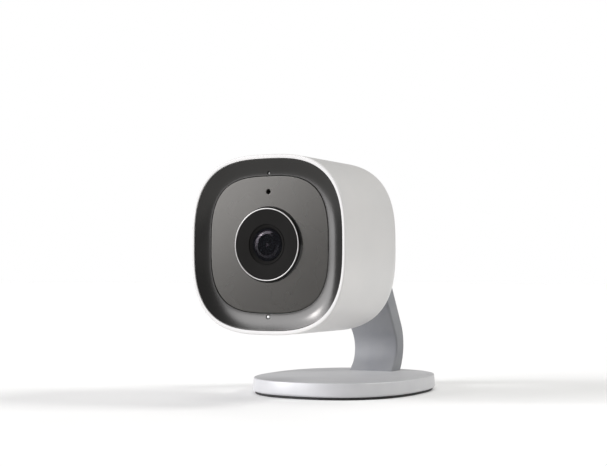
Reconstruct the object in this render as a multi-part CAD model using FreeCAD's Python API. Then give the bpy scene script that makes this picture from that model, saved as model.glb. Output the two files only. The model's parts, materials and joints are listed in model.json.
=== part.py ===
"""Indoor security camera on a curved stand, in millimetres.

The origin is the centre of the base's underside, on the table. +Z is up and the camera looks along -Y.
Places in the head are given as (x, z) from the head's axis and as a depth, which is the distance behind
the front rim. The head is a rounded square tube with a domed back, held by a knuckle that tilts on the
stand's hinge pin and swivels about the head's axis.
"""
import FreeCAD
import Part

import math
import os

from FreeCAD import Vector

# Head: rounded-square housing
HEAD_AXIS_Z = 54.6
RIM_Y = -62.1
HEAD_HALF_WIDTH = 30.0
HEAD_HALF_HEIGHT = 30.8
HEAD_POWER = 2.9
HEAD_STRAIGHT = 39.2
DOME_RISE = 17.7
WALL = 1.8
RIM_WALL_SIDE = 1.05
RIM_WALL_TOP = 1.4
BEZEL_SEAT_DEPTH = 4.3

# Rear cover
COVER_HALF_WIDTH = 24.5
COVER_HALF_HEIGHT = 25.2
COVER_SEAT_DEPTH = 48.2
COVER_GAP = 0.1
COVER_LEDGE = 1.3
COVER_POST_X = 15.5
COVER_POST_Z = 17.0
COVER_POST_END = 45.3
COVER_SCREW_SEAT = 48.5

# Bezel and front plate
BEZEL_FRONT_DEPTH = 0.3
BEZEL_LIP = 0.25
PLATE_HALF_WIDTH = 22.93
PLATE_HALF_HEIGHT = 23.42
PLATE_POWER = 3.02
PLATE_DEPTH = 1.8
PLATE_THICKNESS = 1.5
PLATE_GAP = 0.25
PLATE_LEDGE = 1.4
MIC_HOLE_Z = 18.1
MIC_HOLE_RADIUS = 0.8
SENSOR_WINDOW_Z = 24.5
SENSOR_WINDOW_RADIUS = 0.65
STATUS_WINDOW_Z = -24.7
STATUS_WINDOW_RADIUS = 0.62
STATUS_HOLE_RADIUS = 0.95

# Lens
RING_BASE_RADIUS = 13.1
RING_FRONT_RADIUS = 12.47
RING_FRONT_DEPTH = 0.3
RING_SPIGOT_RADIUS = 12.3
TRIM_WIDTH = 0.4
HOOD_MOUTH_RADIUS = 6.95
LENS_RADIUS = 5.65
LENS_EDGE_DEPTH = 2.0
LENS_SAG = 1.4
BARREL_FRONT = 3.6
BARREL_REAR = 15.5
BARREL_RADIUS = 7.0
BARREL_BORE = 4.2
STOP_HOLE = 0.75
STOP_BORE = 4.6
STOP_BACK = 3.9
REAR_GLASS_BACK = 13.4
MOUNT_FRONT = 8.1
MOUNT_SCREW_SEAT = 9.6

# Boards inside the head: depth of the front face, thickness
LED_BOARD = (5.6, 1.0)
SENSOR_BOARD = (23.0, 1.2)
MAIN_BOARD = (29.0, 1.6)
PORT_BOARD = (39.2, 1.2)
LED_CIRCLE_RADIUS = 17.0
LED_COUNT = 8
FRAME_SCREW_X = 19.5
FRAME_SCREW_Z = 19.9
FRAME_DEPTH = 6.6
FRAME_THICKNESS = 1.5
STANDOFF_X = 18.5
MOUNT_SCREW_X = 12.0
SENSOR_SCREW_X = 13.0
PORT_SCREW_X = 6.8
PORT_SCREW_Z = -12.6
CHIP_BACK = 31.8
CAN_BACK = 33.2
CAN_SHEET = 0.3
SMALL_SCREW = 0.8
SMALL_SCREW_HOLE = 0.9
SMALL_HEAD = 1.7
SMALL_HEAD_HEIGHT = 1.2
COVER_SCREW = 1.0
RIBBON_HALF_WIDTH = 5.0
RIBBON_THICKNESS = 0.3

# Day and night filter
FILTER_WINDOW_PITCH = 8.4
FILTER_WINDOW_RADIUS = 3.4

# Ports on the rear cover
PORT_X = 14.5
PORT_Z = -10.4
PORT_RECESS = (12.0, 7.5)
PORT_FLOOR_DEPTH = 46.5
BUTTON_RADIUS = 2.4
BUTTON_BORE_RADIUS = 2.6
PLUNGER_FRONT = 42.8
BUTTON_FRONT = 45.0
BUTTON_END = 53.2
SPEAKER_Z = 16.8
SPEAKER_HALF_LENGTH = 11.0
SPEAKER_HALF_WIDTH = 5.3
SPEAKER_FRONT = 43.8
SPEAKER_BACK = 48.3
SPEAKER_GASKET_BACK = 49.2
GRILLE_PITCH = 2.6
GRILLE_HOLE = 0.7
USB_HALF_LENGTH = 4.45
USB_HALF_HEIGHT = 1.6

# Knuckle between head and stand
HINGE_Y = 7.2
BARREL_OF_HINGE = 5.6
TONGUE_RADIUS = 5.2
TONGUE_HALF_WIDTH = 3.7
CLEVIS_HALF_GAP = 4.1
PIN_RADIUS = 1.5
PIN_HALF_LENGTH = 8.75
CAP_RADIUS = 3.0
CAP_LENGTH = 1.9
FLANGE_RADIUS = 9.0
FLANGE_FRONT_DEPTH = 54.35
FLANGE_THICKNESS = 1.6
RECESS_DEPTH = 54.2
STEM_RADIUS = 4.0
STEM_FRONT = 47.0
SWIVEL_SCREW = 1.5
WASHER_FRONT = 46.0
LUG_HALF_WIDTH = 1.2
LUG_TIP = 10.3
GROOVE_RADIUS = 10.6
GROOVE_SPARE_ANGLE = 1.5
RUNNING_CLEARANCE = 0.05
SWIVEL_LIMIT = 90.0

# Stand
ARM_THICKNESS = 7.1
ARM_LEAN = 34.4
ARM_STRAIGHT = 38.8
ARM_BEND_RADIUS = 13.05
ARM_FOOT_TURN = 40.0
ARM_FOOT_WIDTH = 18.3
ARM_TOP_WIDTH = 21.5
BASE_HALF_WIDTH = 31.6
BASE_HALF_LENGTH = 39.0
BASE_POWER = 2.4
BASE_TOP = 6.0
BASE_LOWER_RADIUS = 1.1
PAD_THICKNESS = 0.9
PAD_INSET = 0.9
BASE_WALL = 1.8
SIDE_WALL = 1.2
WEIGHT_GAP = 0.1
ARM_SCREW_X = 3.5
ARM_SCREW_Y = 28.8
ARM_SCREW_TOP = 10.5
ARM_SCREW_RADIUS = 1.4
ARM_HEAD_RADIUS = 2.5
TANG_SIZE = (13.0, 6.0)
TANG_BOTTOM = 2.6
BASE_SCREW_X = 19.5
BASE_SCREW_Y = 25.0
BASE_SCREW_TOP = 5.0
BASE_SCREW_RADIUS = 1.2
BASE_HEAD_RADIUS = 2.2
BOSS_RADIUS = 3.0
BOSS_BOTTOM = 2.4
SCREW_HEAD_TOP = 1.9

OUTLINE_POINTS = 48
DOME_STEPS = 9
DOME_END_ANGLE = 75.0
FAR_DEPTH = 62.0


# ---- helpers -------------------------------------------------------------------------------------

def superellipse(half_a, half_b, power):
    """Points of |a/half_a|^power + |b/half_b|^power = 1, evenly spaced in angle."""
    points = []
    for i in range(OUTLINE_POINTS):
        angle = 2 * math.pi * i / OUTLINE_POINTS
        c, s = math.cos(angle), math.sin(angle)
        radius = (abs(c / half_a) ** power + abs(s / half_b) ** power) ** (-1 / power)
        points.append((radius * c, radius * s))
    return points


def closed_curve(points):
    curve = Part.BSplineCurve()
    curve.interpolate(Points=points, PeriodicFlag=True)
    return Part.Wire([curve.toShape()])


def head_outline(half_width, half_height, power, depth):
    """Rounded-square wire across the head at a depth."""
    outline = superellipse(half_width, half_height, power)
    return closed_curve([Vector(x, RIM_Y + depth, HEAD_AXIS_Z + z) for x, z in outline])


def head_prism(half_width, half_height, front, back, power=HEAD_POWER):
    wire = head_outline(half_width, half_height, power, front)
    return Part.Face(wire).extrude(Vector(0, back - front, 0))


def head_body(inset, front):
    """The head's outer form, shrunk by inset: straight sides, then a domed back."""
    half_width = HEAD_HALF_WIDTH - inset
    half_height = HEAD_HALF_HEIGHT - inset
    sections = []
    for i in range(DOME_STEPS):
        turn = math.radians(DOME_END_ANGLE * i / (DOME_STEPS - 1))
        depth = HEAD_STRAIGHT + (DOME_RISE - inset) * math.sin(turn)
        shrink = math.cos(turn)
        sections.append(head_outline(half_width * shrink, half_height * shrink, HEAD_POWER, depth))
    dome = Part.makeLoft(sections, True, False)
    return head_prism(half_width, half_height, front, HEAD_STRAIGHT).fuse(dome)


def rod(x, z, radius, front, back):
    """Cylinder along the head's axis."""
    start = Vector(x, RIM_Y + front, HEAD_AXIS_Z + z)
    return Part.makeCylinder(radius, back - front, start, Vector(0, 1, 0))


def ring(inner, outer, front, back, x=0.0, z=0.0):
    return rod(x, z, outer, front, back).cut(rod(x, z, inner, front, back))


def block(x_range, z_range, front, back):
    """Box in the head, from x and z ranges about the axis and two depths."""
    corner = Vector(x_range[0], RIM_Y + front, HEAD_AXIS_Z + z_range[0])
    return Part.makeBox(x_range[1] - x_range[0], back - front, z_range[1] - z_range[0], corner)


def centred(x, z, width, height, front, back):
    return block((x - width / 2, x + width / 2), (z - height / 2, z + height / 2), front, back)


def stadium(x, z, half_length, half_width, front, back):
    """Slot-shaped bar with round ends, lying along X."""
    middle = centred(x, z, 2 * (half_length - half_width), 2 * half_width, front, back)
    left = rod(x - half_length + half_width, z, half_width, front, back)
    right = rod(x + half_length - half_width, z, half_width, front, back)
    return middle.fuse([left, right]).removeSplitter()


def turned(profile):
    """Solid of revolution about the head's axis from a closed list of (radius, depth)."""
    points = [Vector(radius, RIM_Y + depth, HEAD_AXIS_Z) for radius, depth in profile]
    face = Part.Face(Part.makePolygon(points + points[:1]))
    return face.revolve(Vector(0, 0, HEAD_AXIS_Z), Vector(0, 1, 0), 360)


def cross_rod(x_from, x_to, radius):
    """Cylinder along the hinge's axis."""
    start = Vector(x_from, HINGE_Y, HEAD_AXIS_Z)
    return Part.makeCylinder(radius, x_to - x_from, start, Vector(1, 0, 0))


def base_outline(inset, z):
    outline = superellipse(BASE_HALF_WIDTH - inset, BASE_HALF_LENGTH - inset, BASE_POWER)
    return closed_curve([Vector(x, y, z) for x, y in outline])


def base_prism(inset, bottom, top):
    return Part.Face(base_outline(inset, bottom)).extrude(Vector(0, 0, top - bottom))


def post(x, y, radius, bottom, top):
    """Upright cylinder in the base."""
    return Part.makeCylinder(radius, top - bottom, Vector(x, y, bottom), Vector(0, 0, 1))


def mirrored(x, z):
    return [(x, z), (-x, z), (x, -z), (-x, -z)]


def group(shapes):
    return Part.makeCompound(shapes)


def screw(x, z, head_radius, head_height, shank_radius, seat, length, direction=-1):
    """Pan-head screw along the head's axis: its head rests at the seat depth and its shank runs on."""
    if direction < 0:
        head = rod(x, z, head_radius, seat, seat + head_height)
        shank = rod(x, z, shank_radius, seat - length, seat)
        slot = (seat + head_height / 2, seat + head_height)
    else:
        head = rod(x, z, head_radius, seat - head_height, seat)
        shank = rod(x, z, shank_radius, seat, seat + length)
        slot = (seat - head_height, seat - head_height / 2)
    return head.fuse(shank).cut(centred(x, z, head_radius * 1.2, head_radius * 0.3, slot[0], slot[1]))


# ---- housing -------------------------------------------------------------------------------------

def housing_shell():
    """Open square tube with a rim pocket in front and a stepped seat for the rear cover behind."""
    hollow = head_body(WALL, BEZEL_SEAT_DEPTH)
    hollow = hollow.cut(head_prism(40, 40, COVER_SEAT_DEPTH - 1.6, FAR_DEPTH))
    opening = head_prism(COVER_HALF_WIDTH - COVER_LEDGE, COVER_HALF_HEIGHT - COVER_LEDGE, 40, FAR_DEPTH)
    seat = head_prism(COVER_HALF_WIDTH, COVER_HALF_HEIGHT, COVER_SEAT_DEPTH, FAR_DEPTH)
    pocket_size = (HEAD_HALF_WIDTH - RIM_WALL_SIDE, HEAD_HALF_HEIGHT - RIM_WALL_TOP)
    pocket = head_prism(pocket_size[0], pocket_size[1], -1, BEZEL_SEAT_DEPTH)
    return head_body(0, 0).cut(hollow).cut(opening).cut(seat).cut(pocket)


def stop_groove():
    """Arc round the upper half of the swivel recess, in which the knuckle's lug travels."""
    half_turn = SWIVEL_LIMIT + math.degrees(LUG_HALF_WIDTH / LUG_TIP) + GROOVE_SPARE_ANGLE
    axis = Vector(0, 1, 0)
    centre = Vector(0, RIM_Y + RECESS_DEPTH, HEAD_AXIS_Z)
    sector = Part.makeCylinder(GROOVE_RADIUS, FAR_DEPTH - RECESS_DEPTH, centre, axis, 2 * half_turn)
    middle = sector.CenterOfMass - Vector(0, 0, HEAD_AXIS_Z)
    sector.rotate(Vector(0, 0, HEAD_AXIS_Z), axis, -math.degrees(math.atan2(middle.x, middle.z)))
    return sector


def port_screw_places():
    return [(-PORT_SCREW_X, PORT_SCREW_Z), (PORT_SCREW_X, PORT_SCREW_Z)]


def grille_places():
    """Centres of the speaker's holes: three rows, the middle one longer."""
    places = []
    for row in range(-1, 2):
        columns = 3 if row == 0 else 2
        for column in range(-columns, columns + 1):
            places.append((column * GRILLE_PITCH, SPEAKER_Z + row * GRILLE_PITCH))
    return places


def cover_bosses():
    """Thick places inside the cover: swivel bearing, screw posts, port box, button guide, speaker seat."""
    bosses = [rod(0, 0, 12.5, 52.4, FAR_DEPTH), rod(0, 0, 7.5, STEM_FRONT + 0.1, FAR_DEPTH)]
    bosses += [rod(x, z, 3.0, COVER_POST_END, FAR_DEPTH) for x, z in mirrored(COVER_POST_X, COVER_POST_Z)]
    bosses += [rod(x, z, 1.9, sum(PORT_BOARD), FAR_DEPTH) for x, z in port_screw_places()]
    width, height = PORT_RECESS
    bosses.append(centred(-PORT_X, PORT_Z, width + 2, height + 2, PORT_FLOOR_DEPTH - 1.2, FAR_DEPTH))
    bosses.append(rod(PORT_X, PORT_Z, 4.6, 48.7, FAR_DEPTH))
    seat = stadium(0, SPEAKER_Z, SPEAKER_HALF_LENGTH, SPEAKER_HALF_WIDTH, SPEAKER_GASKET_BACK, FAR_DEPTH)
    bosses.append(seat)
    return bosses


def cover_holes():
    holes = [rod(0, 0, FLANGE_RADIUS + 0.3, RECESS_DEPTH, FAR_DEPTH), stop_groove()]
    holes.append(rod(0, 0, STEM_RADIUS + RUNNING_CLEARANCE, 40, FAR_DEPTH))
    for x, z in mirrored(COVER_POST_X, COVER_POST_Z):
        holes.append(rod(x, z, 2.0, COVER_SCREW_SEAT, FAR_DEPTH))
        holes.append(rod(x, z, COVER_SCREW, 40, FAR_DEPTH))
    holes += [rod(x, z, SMALL_SCREW, 40, 46) for x, z in port_screw_places()]
    holes.append(centred(-PORT_X, PORT_Z, PORT_RECESS[0], PORT_RECESS[1], PORT_FLOOR_DEPTH, FAR_DEPTH))
    socket_size = (2 * USB_HALF_LENGTH + 0.2, 2 * USB_HALF_HEIGHT + 0.2)
    holes.append(centred(-PORT_X, PORT_Z, socket_size[0], socket_size[1], 40, FAR_DEPTH))
    holes.append(rod(PORT_X, PORT_Z, BUTTON_BORE_RADIUS, 40, FAR_DEPTH))
    holes.append(rod(PORT_X, PORT_Z, 4.2, 52.6, FAR_DEPTH))
    holes += [rod(x, z, GRILLE_HOLE, 49, FAR_DEPTH) for x, z in grille_places()]
    return holes


def rear_cover():
    outside = head_body(0, 0)
    inside_form = head_body(WALL, 0)
    half_width, half_height = COVER_HALF_WIDTH - COVER_GAP, COVER_HALF_HEIGHT - COVER_GAP
    plug = head_prism(half_width, half_height, COVER_SEAT_DEPTH, FAR_DEPTH)
    body = outside.common(plug).cut(inside_form)
    room_inset = COVER_LEDGE + 0.2
    room = head_prism(COVER_HALF_WIDTH - room_inset, COVER_HALF_HEIGHT - room_inset, 40, FAR_DEPTH)
    for boss in cover_bosses():
        body = body.fuse(boss.common(outside).common(room))
    hollow = stadium(0, SPEAKER_Z, SPEAKER_HALF_LENGTH - 1, SPEAKER_HALF_WIDTH - 1, 48, FAR_DEPTH)
    body = body.cut(hollow.common(inside_form))
    return body.cut(cover_holes())


def inner_frame():
    """Chassis behind the bezel: a plate with a front skirt, four long posts and two board stand-offs."""
    back = FRAME_DEPTH + FRAME_THICKNESS
    half_width = HEAD_HALF_WIDTH - WALL - 0.1
    half_height = HEAD_HALF_HEIGHT - WALL - 0.1
    body = head_prism(half_width, half_height, BEZEL_SEAT_DEPTH, back)
    body = body.cut(head_prism(half_width - 1.6, half_height - 1.8, BEZEL_SEAT_DEPTH - 1, FRAME_DEPTH))
    posts = []
    for x, z in mirrored(COVER_POST_X, COVER_POST_Z):
        posts.append(rod(x, z, 2.6, FRAME_DEPTH, MAIN_BOARD[0]))
        posts.append(rod(x, z, 1.9, FRAME_DEPTH, COVER_POST_END))
    posts += [rod(x, 0, 2.2, FRAME_DEPTH, MAIN_BOARD[0]) for x in (-STANDOFF_X, STANDOFF_X)]
    body = body.fuse(posts)
    holes = [rod(0, 0, BARREL_RADIUS + 1, 0, back + 1), block((-6, 6), (-21, -19), 0, back + 1)]
    post_places = mirrored(COVER_POST_X, COVER_POST_Z)
    holes += [rod(x, z, COVER_SCREW, 36, COVER_POST_END + 1) for x, z in post_places]
    holes += [rod(x, z, SMALL_SCREW, 0, back + 1) for x, z in mirrored(FRAME_SCREW_X, FRAME_SCREW_Z)]
    holes += [rod(x, 0, SMALL_SCREW, 24.5, MAIN_BOARD[0] + 1) for x in (-STANDOFF_X, STANDOFF_X)]
    holes += [rod(x, 0, SMALL_SCREW, 0, back + 1) for x in (-MOUNT_SCREW_X, MOUNT_SCREW_X)]
    return body.cut(holes)


# ---- front ---------------------------------------------------------------------------------------

def front_bezel():
    half_width = HEAD_HALF_WIDTH - RIM_WALL_SIDE - 0.05
    half_height = HEAD_HALF_HEIGHT - RIM_WALL_TOP - 0.05
    body = head_prism(half_width, half_height, BEZEL_FRONT_DEPTH, BEZEL_SEAT_DEPTH)
    pocket_width = PLATE_HALF_WIDTH + PLATE_GAP
    pocket_height = PLATE_HALF_HEIGHT + PLATE_GAP
    dish = Part.makeLoft([
        head_outline(half_width - BEZEL_LIP, half_height - BEZEL_LIP, HEAD_POWER, BEZEL_FRONT_DEPTH),
        head_outline(pocket_width, pocket_height, PLATE_POWER, PLATE_DEPTH),
    ], True, True)
    pocket = head_prism(pocket_width, pocket_height, PLATE_DEPTH, PLATE_DEPTH + PLATE_THICKNESS, PLATE_POWER)
    opening = head_prism(PLATE_HALF_WIDTH - PLATE_LEDGE, PLATE_HALF_HEIGHT - PLATE_LEDGE, 0, 10, PLATE_POWER)
    body = body.cut([dish, pocket, opening])
    screw_places = mirrored(FRAME_SCREW_X, FRAME_SCREW_Z)
    body = body.fuse([rod(x, z, 1.6, BEZEL_SEAT_DEPTH - 1, LED_BOARD[0]) for x, z in screw_places])
    holes = [rod(x, z, SMALL_SCREW, 3.0, 10) for x, z in screw_places]
    holes.append(rod(0, SENSOR_WINDOW_Z, SENSOR_WINDOW_RADIUS, 0, 10))
    holes.append(rod(0, STATUS_WINDOW_Z, STATUS_HOLE_RADIUS, 0, 10))
    return body.cut(holes)


def front_plate():
    back = PLATE_DEPTH + PLATE_THICKNESS
    body = head_prism(PLATE_HALF_WIDTH, PLATE_HALF_HEIGHT, PLATE_DEPTH, back, PLATE_POWER)
    holes = [rod(0, 0, RING_SPIGOT_RADIUS + 0.05, 0, 10), rod(0, MIC_HOLE_Z, MIC_HOLE_RADIUS, 0, 10)]
    return body.cut(holes)


def lens_ring():
    trim_back = RING_FRONT_DEPTH + TRIM_WIDTH
    return turned([
        (RING_SPIGOT_RADIUS, 5.0), (RING_SPIGOT_RADIUS, PLATE_DEPTH), (RING_BASE_RADIUS, PLATE_DEPTH),
        (RING_FRONT_RADIUS, trim_back), (11.2, trim_back), (11.2, 5.0),
    ])


def lens_trim_ring():
    back = RING_FRONT_DEPTH + TRIM_WIDTH
    return ring(RING_FRONT_RADIUS - TRIM_WIDTH, RING_FRONT_RADIUS, RING_FRONT_DEPTH, back)


def lens_hood():
    """Matt black face with a cone down to the glass."""
    face_radius = RING_FRONT_RADIUS - TRIM_WIDTH - 0.02
    face_depth = RING_FRONT_DEPTH + 0.15
    back = RING_FRONT_DEPTH + TRIM_WIDTH
    return turned([
        (HOOD_MOUTH_RADIUS, face_depth), (face_radius, face_depth), (face_radius, back),
        (11.15, back), (11.15, 3.3), (LENS_RADIUS, 3.3), (LENS_RADIUS, LENS_EDGE_DEPTH),
    ])


def domed_glass(radius, edge_depth, back_depth, sag):
    """Plano-convex glass with its dome to the front."""
    sphere_radius = (radius ** 2 + sag ** 2) / (2 * sag)
    centre = Vector(0, RIM_Y + edge_depth - sag + sphere_radius, HEAD_AXIS_Z)
    ball = Part.makeSphere(sphere_radius, centre)
    return rod(0, 0, radius, edge_depth - sag - 1, back_depth).common(ball)


def front_lens():
    return domed_glass(LENS_RADIUS - 0.05, LENS_EDGE_DEPTH, BARREL_FRONT, LENS_SAG)


def middle_lens():
    return domed_glass(BARREL_BORE - 0.05, 6.0, 7.6, 1.2)


def rear_lens():
    return domed_glass(BARREL_BORE - 0.05, 11.2, REAR_GLASS_BACK, 1.2)


def lens_barrel():
    return turned([
        (STOP_BORE, BARREL_FRONT), (BARREL_RADIUS, BARREL_FRONT), (BARREL_RADIUS, BARREL_REAR),
        (3.6, BARREL_REAR), (3.6, REAR_GLASS_BACK), (BARREL_BORE, REAR_GLASS_BACK),
        (BARREL_BORE, STOP_BACK), (STOP_BORE, STOP_BACK),
    ])


def aperture_stop():
    return ring(STOP_HOLE, STOP_BORE, BARREL_FRONT, STOP_BACK)


def lens_mount():
    """Collar for the barrel in front of the box in which the day and night filter slides."""
    back = SENSOR_BOARD[0]
    body = rod(0, 0, 9.0, MOUNT_FRONT, BARREL_REAR).fuse(block((-15, 15), (-8, 8), BARREL_REAR, back))
    lugs = [rod(x, 0, 2.5, MOUNT_FRONT, MOUNT_SCREW_SEAT) for x in (-MOUNT_SCREW_X, MOUNT_SCREW_X)]
    lugs.append(block((-MOUNT_SCREW_X, MOUNT_SCREW_X), (-2.5, 2.5), MOUNT_FRONT, MOUNT_SCREW_SEAT))
    body = body.fuse(lugs)
    holes = [
        rod(0, 0, BARREL_RADIUS + RUNNING_CLEARANCE, 0, BARREL_REAR),
        rod(0, 0, 4.5, BARREL_REAR - 1, 17),
        block((-13.5, 13.5), (-5.2, 5.2), 16.5, 18.3),
        rod(0, 0, 4.0, 18, 20),
        block((-5.5, 5.5), (-5.5, 5.5), 19.5, back + 1),
    ]
    holes += [rod(x, 0, SMALL_SCREW, 0, 12) for x in (-MOUNT_SCREW_X, MOUNT_SCREW_X)]
    holes += [rod(x, 0, SMALL_SCREW, 19.5, back + 1) for x in (-SENSOR_SCREW_X, SENSOR_SCREW_X)]
    return body.cut(holes)


def filter_windows():
    """Centres of the infrared-cut window, which is on the axis at rest, and of the clear one beside it."""
    return (0.0, FILTER_WINDOW_PITCH)


def ir_filter_slide():
    middle = FILTER_WINDOW_PITCH / 2
    body = centred(middle, 0, 17.4, 9.6, 16.8, 18.0)
    return body.cut([rod(x, 0, FILTER_WINDOW_RADIUS, 16, 19) for x in filter_windows()])


def filter_glass(x):
    return rod(x, 0, FILTER_WINDOW_RADIUS, 17.1, 17.7)


def ir_filter_coil():
    """Coil that drives the filter: a bobbin between two cheeks, lying along X on top of the mount."""
    centre = Vector(-5, RIM_Y + 18, HEAD_AXIS_Z + 10.5)
    body = Part.makeCylinder(2.1, 10, centre, Vector(1, 0, 0))
    cheeks = [block((-5, -4), (8, 13), 15.5, 20.5), block((4, 5), (8, 13), 15.5, 20.5)]
    return body.fuse(cheeks)


def image_sensor():
    return centred(0, 0, 8.4, 6.8, 22.0, SENSOR_BOARD[0])


# ---- boards and electronics ----------------------------------------------------------------------

def sensor_board():
    front, thickness = SENSOR_BOARD
    body = centred(0, 0, 32, 26, front, front + thickness)
    return body.cut([rod(x, 0, SMALL_SCREW_HOLE, 0, 40) for x in (-SENSOR_SCREW_X, SENSOR_SCREW_X)])


def ir_led_board():
    front, thickness = LED_BOARD
    body = head_prism(26.4, 27.0, front, front + thickness)
    holes = [rod(0, 0, 7.6, 0, 10)]
    holes += [rod(x, z, SMALL_SCREW_HOLE, 0, 10) for x, z in mirrored(FRAME_SCREW_X, FRAME_SCREW_Z)]
    return body.cut(holes)


def ir_leds():
    """Infrared emitters on a circle round the lens: a square body with a small dome."""
    leds = []
    for i in range(LED_COUNT):
        angle = 2 * math.pi * (i + 0.5) / LED_COUNT
        x, z = LED_CIRCLE_RADIUS * math.cos(angle), LED_CIRCLE_RADIUS * math.sin(angle)
        body = centred(x, z, 3.4, 3.4, 4.6, LED_BOARD[0])
        dome = Part.makeSphere(1.3, Vector(x, RIM_Y + 4.9, HEAD_AXIS_Z + z))
        leds.append(body.fuse(dome.common(rod(x, z, 1.4, 3.5, 5.0))))
    return group(leds)


def microphone():
    return centred(0, MIC_HOLE_Z, 3.8, 3.0, 4.6, LED_BOARD[0])


def microphone_gasket():
    return ring(0.8, 1.7, PLATE_DEPTH + PLATE_THICKNESS, 4.6, 0, MIC_HOLE_Z)


def light_sensor():
    return centred(0, SENSOR_WINDOW_Z, 2.0, 2.0, 4.8, LED_BOARD[0])


def light_sensor_window():
    return rod(0, SENSOR_WINDOW_Z, SENSOR_WINDOW_RADIUS, 1.6, 4.8)


def status_led():
    return centred(0, STATUS_WINDOW_Z, 1.6, 1.6, 4.9, LED_BOARD[0])


def status_light_window():
    flange = rod(0, STATUS_WINDOW_Z, STATUS_HOLE_RADIUS, 3.4, 4.3)
    return rod(0, STATUS_WINDOW_Z, STATUS_WINDOW_RADIUS, 1.5, 4.9).fuse(flange)


def main_board():
    front, thickness = MAIN_BOARD
    body = centred(0, 0, 41, 41, front, front + thickness)
    holes = [rod(x, z, 2.0, 20, 40) for x, z in mirrored(COVER_POST_X, COVER_POST_Z)]
    holes += [rod(x, 0, SMALL_SCREW_HOLE, 20, 40) for x in (-STANDOFF_X, STANDOFF_X)]
    return body.cut(holes)


def processor():
    return centred(0, 0, 13, 13, sum(MAIN_BOARD), CHIP_BACK)


def shield_can():
    outside = centred(0, 0, 20, 18, sum(MAIN_BOARD), CAN_BACK)
    return outside.cut(centred(0, 0, 19.4, 17.4, sum(MAIN_BOARD) - 1, CAN_BACK - CAN_SHEET))


def thermal_pad():
    return centred(0, 0, 12, 12, CHIP_BACK, CAN_BACK - CAN_SHEET)


def heat_spreader():
    return centred(0, 0, 26, 19, CAN_BACK, CAN_BACK + 1.2)


def port_board():
    front, thickness = PORT_BOARD
    body = centred(0, PORT_Z + 0.5, 41, 8.2, front, front + thickness)
    return body.cut([rod(x, z, SMALL_SCREW_HOLE, 30, 50) for x, z in port_screw_places()])


def port_connector():
    return centred(0, -12.2, 8, 3.4, sum(MAIN_BOARD), PORT_BOARD[0])


def usb_socket():
    """Power inlet: an oval steel shell with a contact tongue inside."""
    back = sum(PORT_BOARD)
    sheet = 0.3
    length, height = USB_HALF_LENGTH, USB_HALF_HEIGHT
    shell = stadium(-PORT_X, PORT_Z, length, height, back, PORT_FLOOR_DEPTH)
    hollow = stadium(-PORT_X, PORT_Z, length - sheet, height - sheet, back + 1.2, PORT_FLOOR_DEPTH + 1)
    tongue = centred(-PORT_X, PORT_Z, 6.6, 0.7, back + 0.6, PORT_FLOOR_DEPTH - 0.8)
    return shell.cut(hollow).fuse(tongue)


def button_switch():
    back = sum(PORT_BOARD)
    body = centred(PORT_X, PORT_Z, 6, 6, back, back + 3.4)
    return body.cut(rod(PORT_X, PORT_Z, 1.6, back + 1.6, back + 5))


def switch_plunger():
    return rod(PORT_X, PORT_Z, 1.5, PLUNGER_FRONT, BUTTON_FRONT)


def setup_button():
    body = rod(PORT_X, PORT_Z, BUTTON_RADIUS, BUTTON_FRONT, BUTTON_END)
    flange = rod(PORT_X, PORT_Z, 3.2, 47.0, 48.2)
    return body.fuse(flange)


def speaker():
    basket = stadium(0, SPEAKER_Z, SPEAKER_HALF_LENGTH, SPEAKER_HALF_WIDTH, SPEAKER_FRONT, SPEAKER_BACK)
    rim = 1.2
    back = SPEAKER_BACK
    cone = stadium(0, SPEAKER_Z, SPEAKER_HALF_LENGTH - rim, SPEAKER_HALF_WIDTH - rim, back - 1, back + 1)
    return basket.cut(cone)


def speaker_gasket():
    ends = (SPEAKER_BACK, SPEAKER_GASKET_BACK)
    outside = stadium(0, SPEAKER_Z, SPEAKER_HALF_LENGTH, SPEAKER_HALF_WIDTH, ends[0], ends[1])
    return outside.cut(stadium(0, SPEAKER_Z, SPEAKER_HALF_LENGTH - 1, SPEAKER_HALF_WIDTH - 1, 48, 50))


def speaker_leads():
    return group([rod(x, SPEAKER_Z, 0.5, sum(MAIN_BOARD), SPEAKER_FRONT) for x in (-2, 2)])


def wifi_antenna():
    back = FRAME_DEPTH + FRAME_THICKNESS
    return block((-12, 12), (21, 27), back, back + 0.8)


def rod_across(depth, z, radius, length):
    """Cylinder along X inside the head."""
    start = Vector(-length / 2, RIM_Y + depth, HEAD_AXIS_Z + z)
    return Part.makeCylinder(radius, length, start, Vector(1, 0, 0))


def ribbon(z_range, front, back):
    return block((-RIBBON_HALF_WIDTH, RIBBON_HALF_WIDTH), z_range, front, back)


def flex_cable():
    """Flat cable from the sensor board down and round to the main board."""
    front = sum(SENSOR_BOARD)
    back = MAIN_BOARD[0]
    top_z, bend_z = -6.0, -11.5
    middle = (front + back) / 2
    radius = (back - front) / 2
    outer = rod_across(middle, bend_z, radius, 2 * RIBBON_HALF_WIDTH)
    inner = rod_across(middle, bend_z, radius - RIBBON_THICKNESS, 2 * RIBBON_HALF_WIDTH + 2)
    loop = outer.cut(inner).common(ribbon((bend_z - radius - 1, bend_z), front, back))
    front_leg = ribbon((bend_z, top_z), front, front + RIBBON_THICKNESS)
    back_leg = ribbon((bend_z, top_z), back - RIBBON_THICKNESS, back)
    return loop.fuse([front_leg, back_leg])


def led_cable():
    z = -20.0
    return ribbon((z - RIBBON_THICKNESS / 2, z + RIBBON_THICKNESS / 2), sum(LED_BOARD), MAIN_BOARD[0])


# ---- screws in the head --------------------------------------------------------------------------

def small_screw(x, z, seat, length):
    return screw(x, z, SMALL_HEAD, SMALL_HEAD_HEIGHT, SMALL_SCREW, seat, length)


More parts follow.
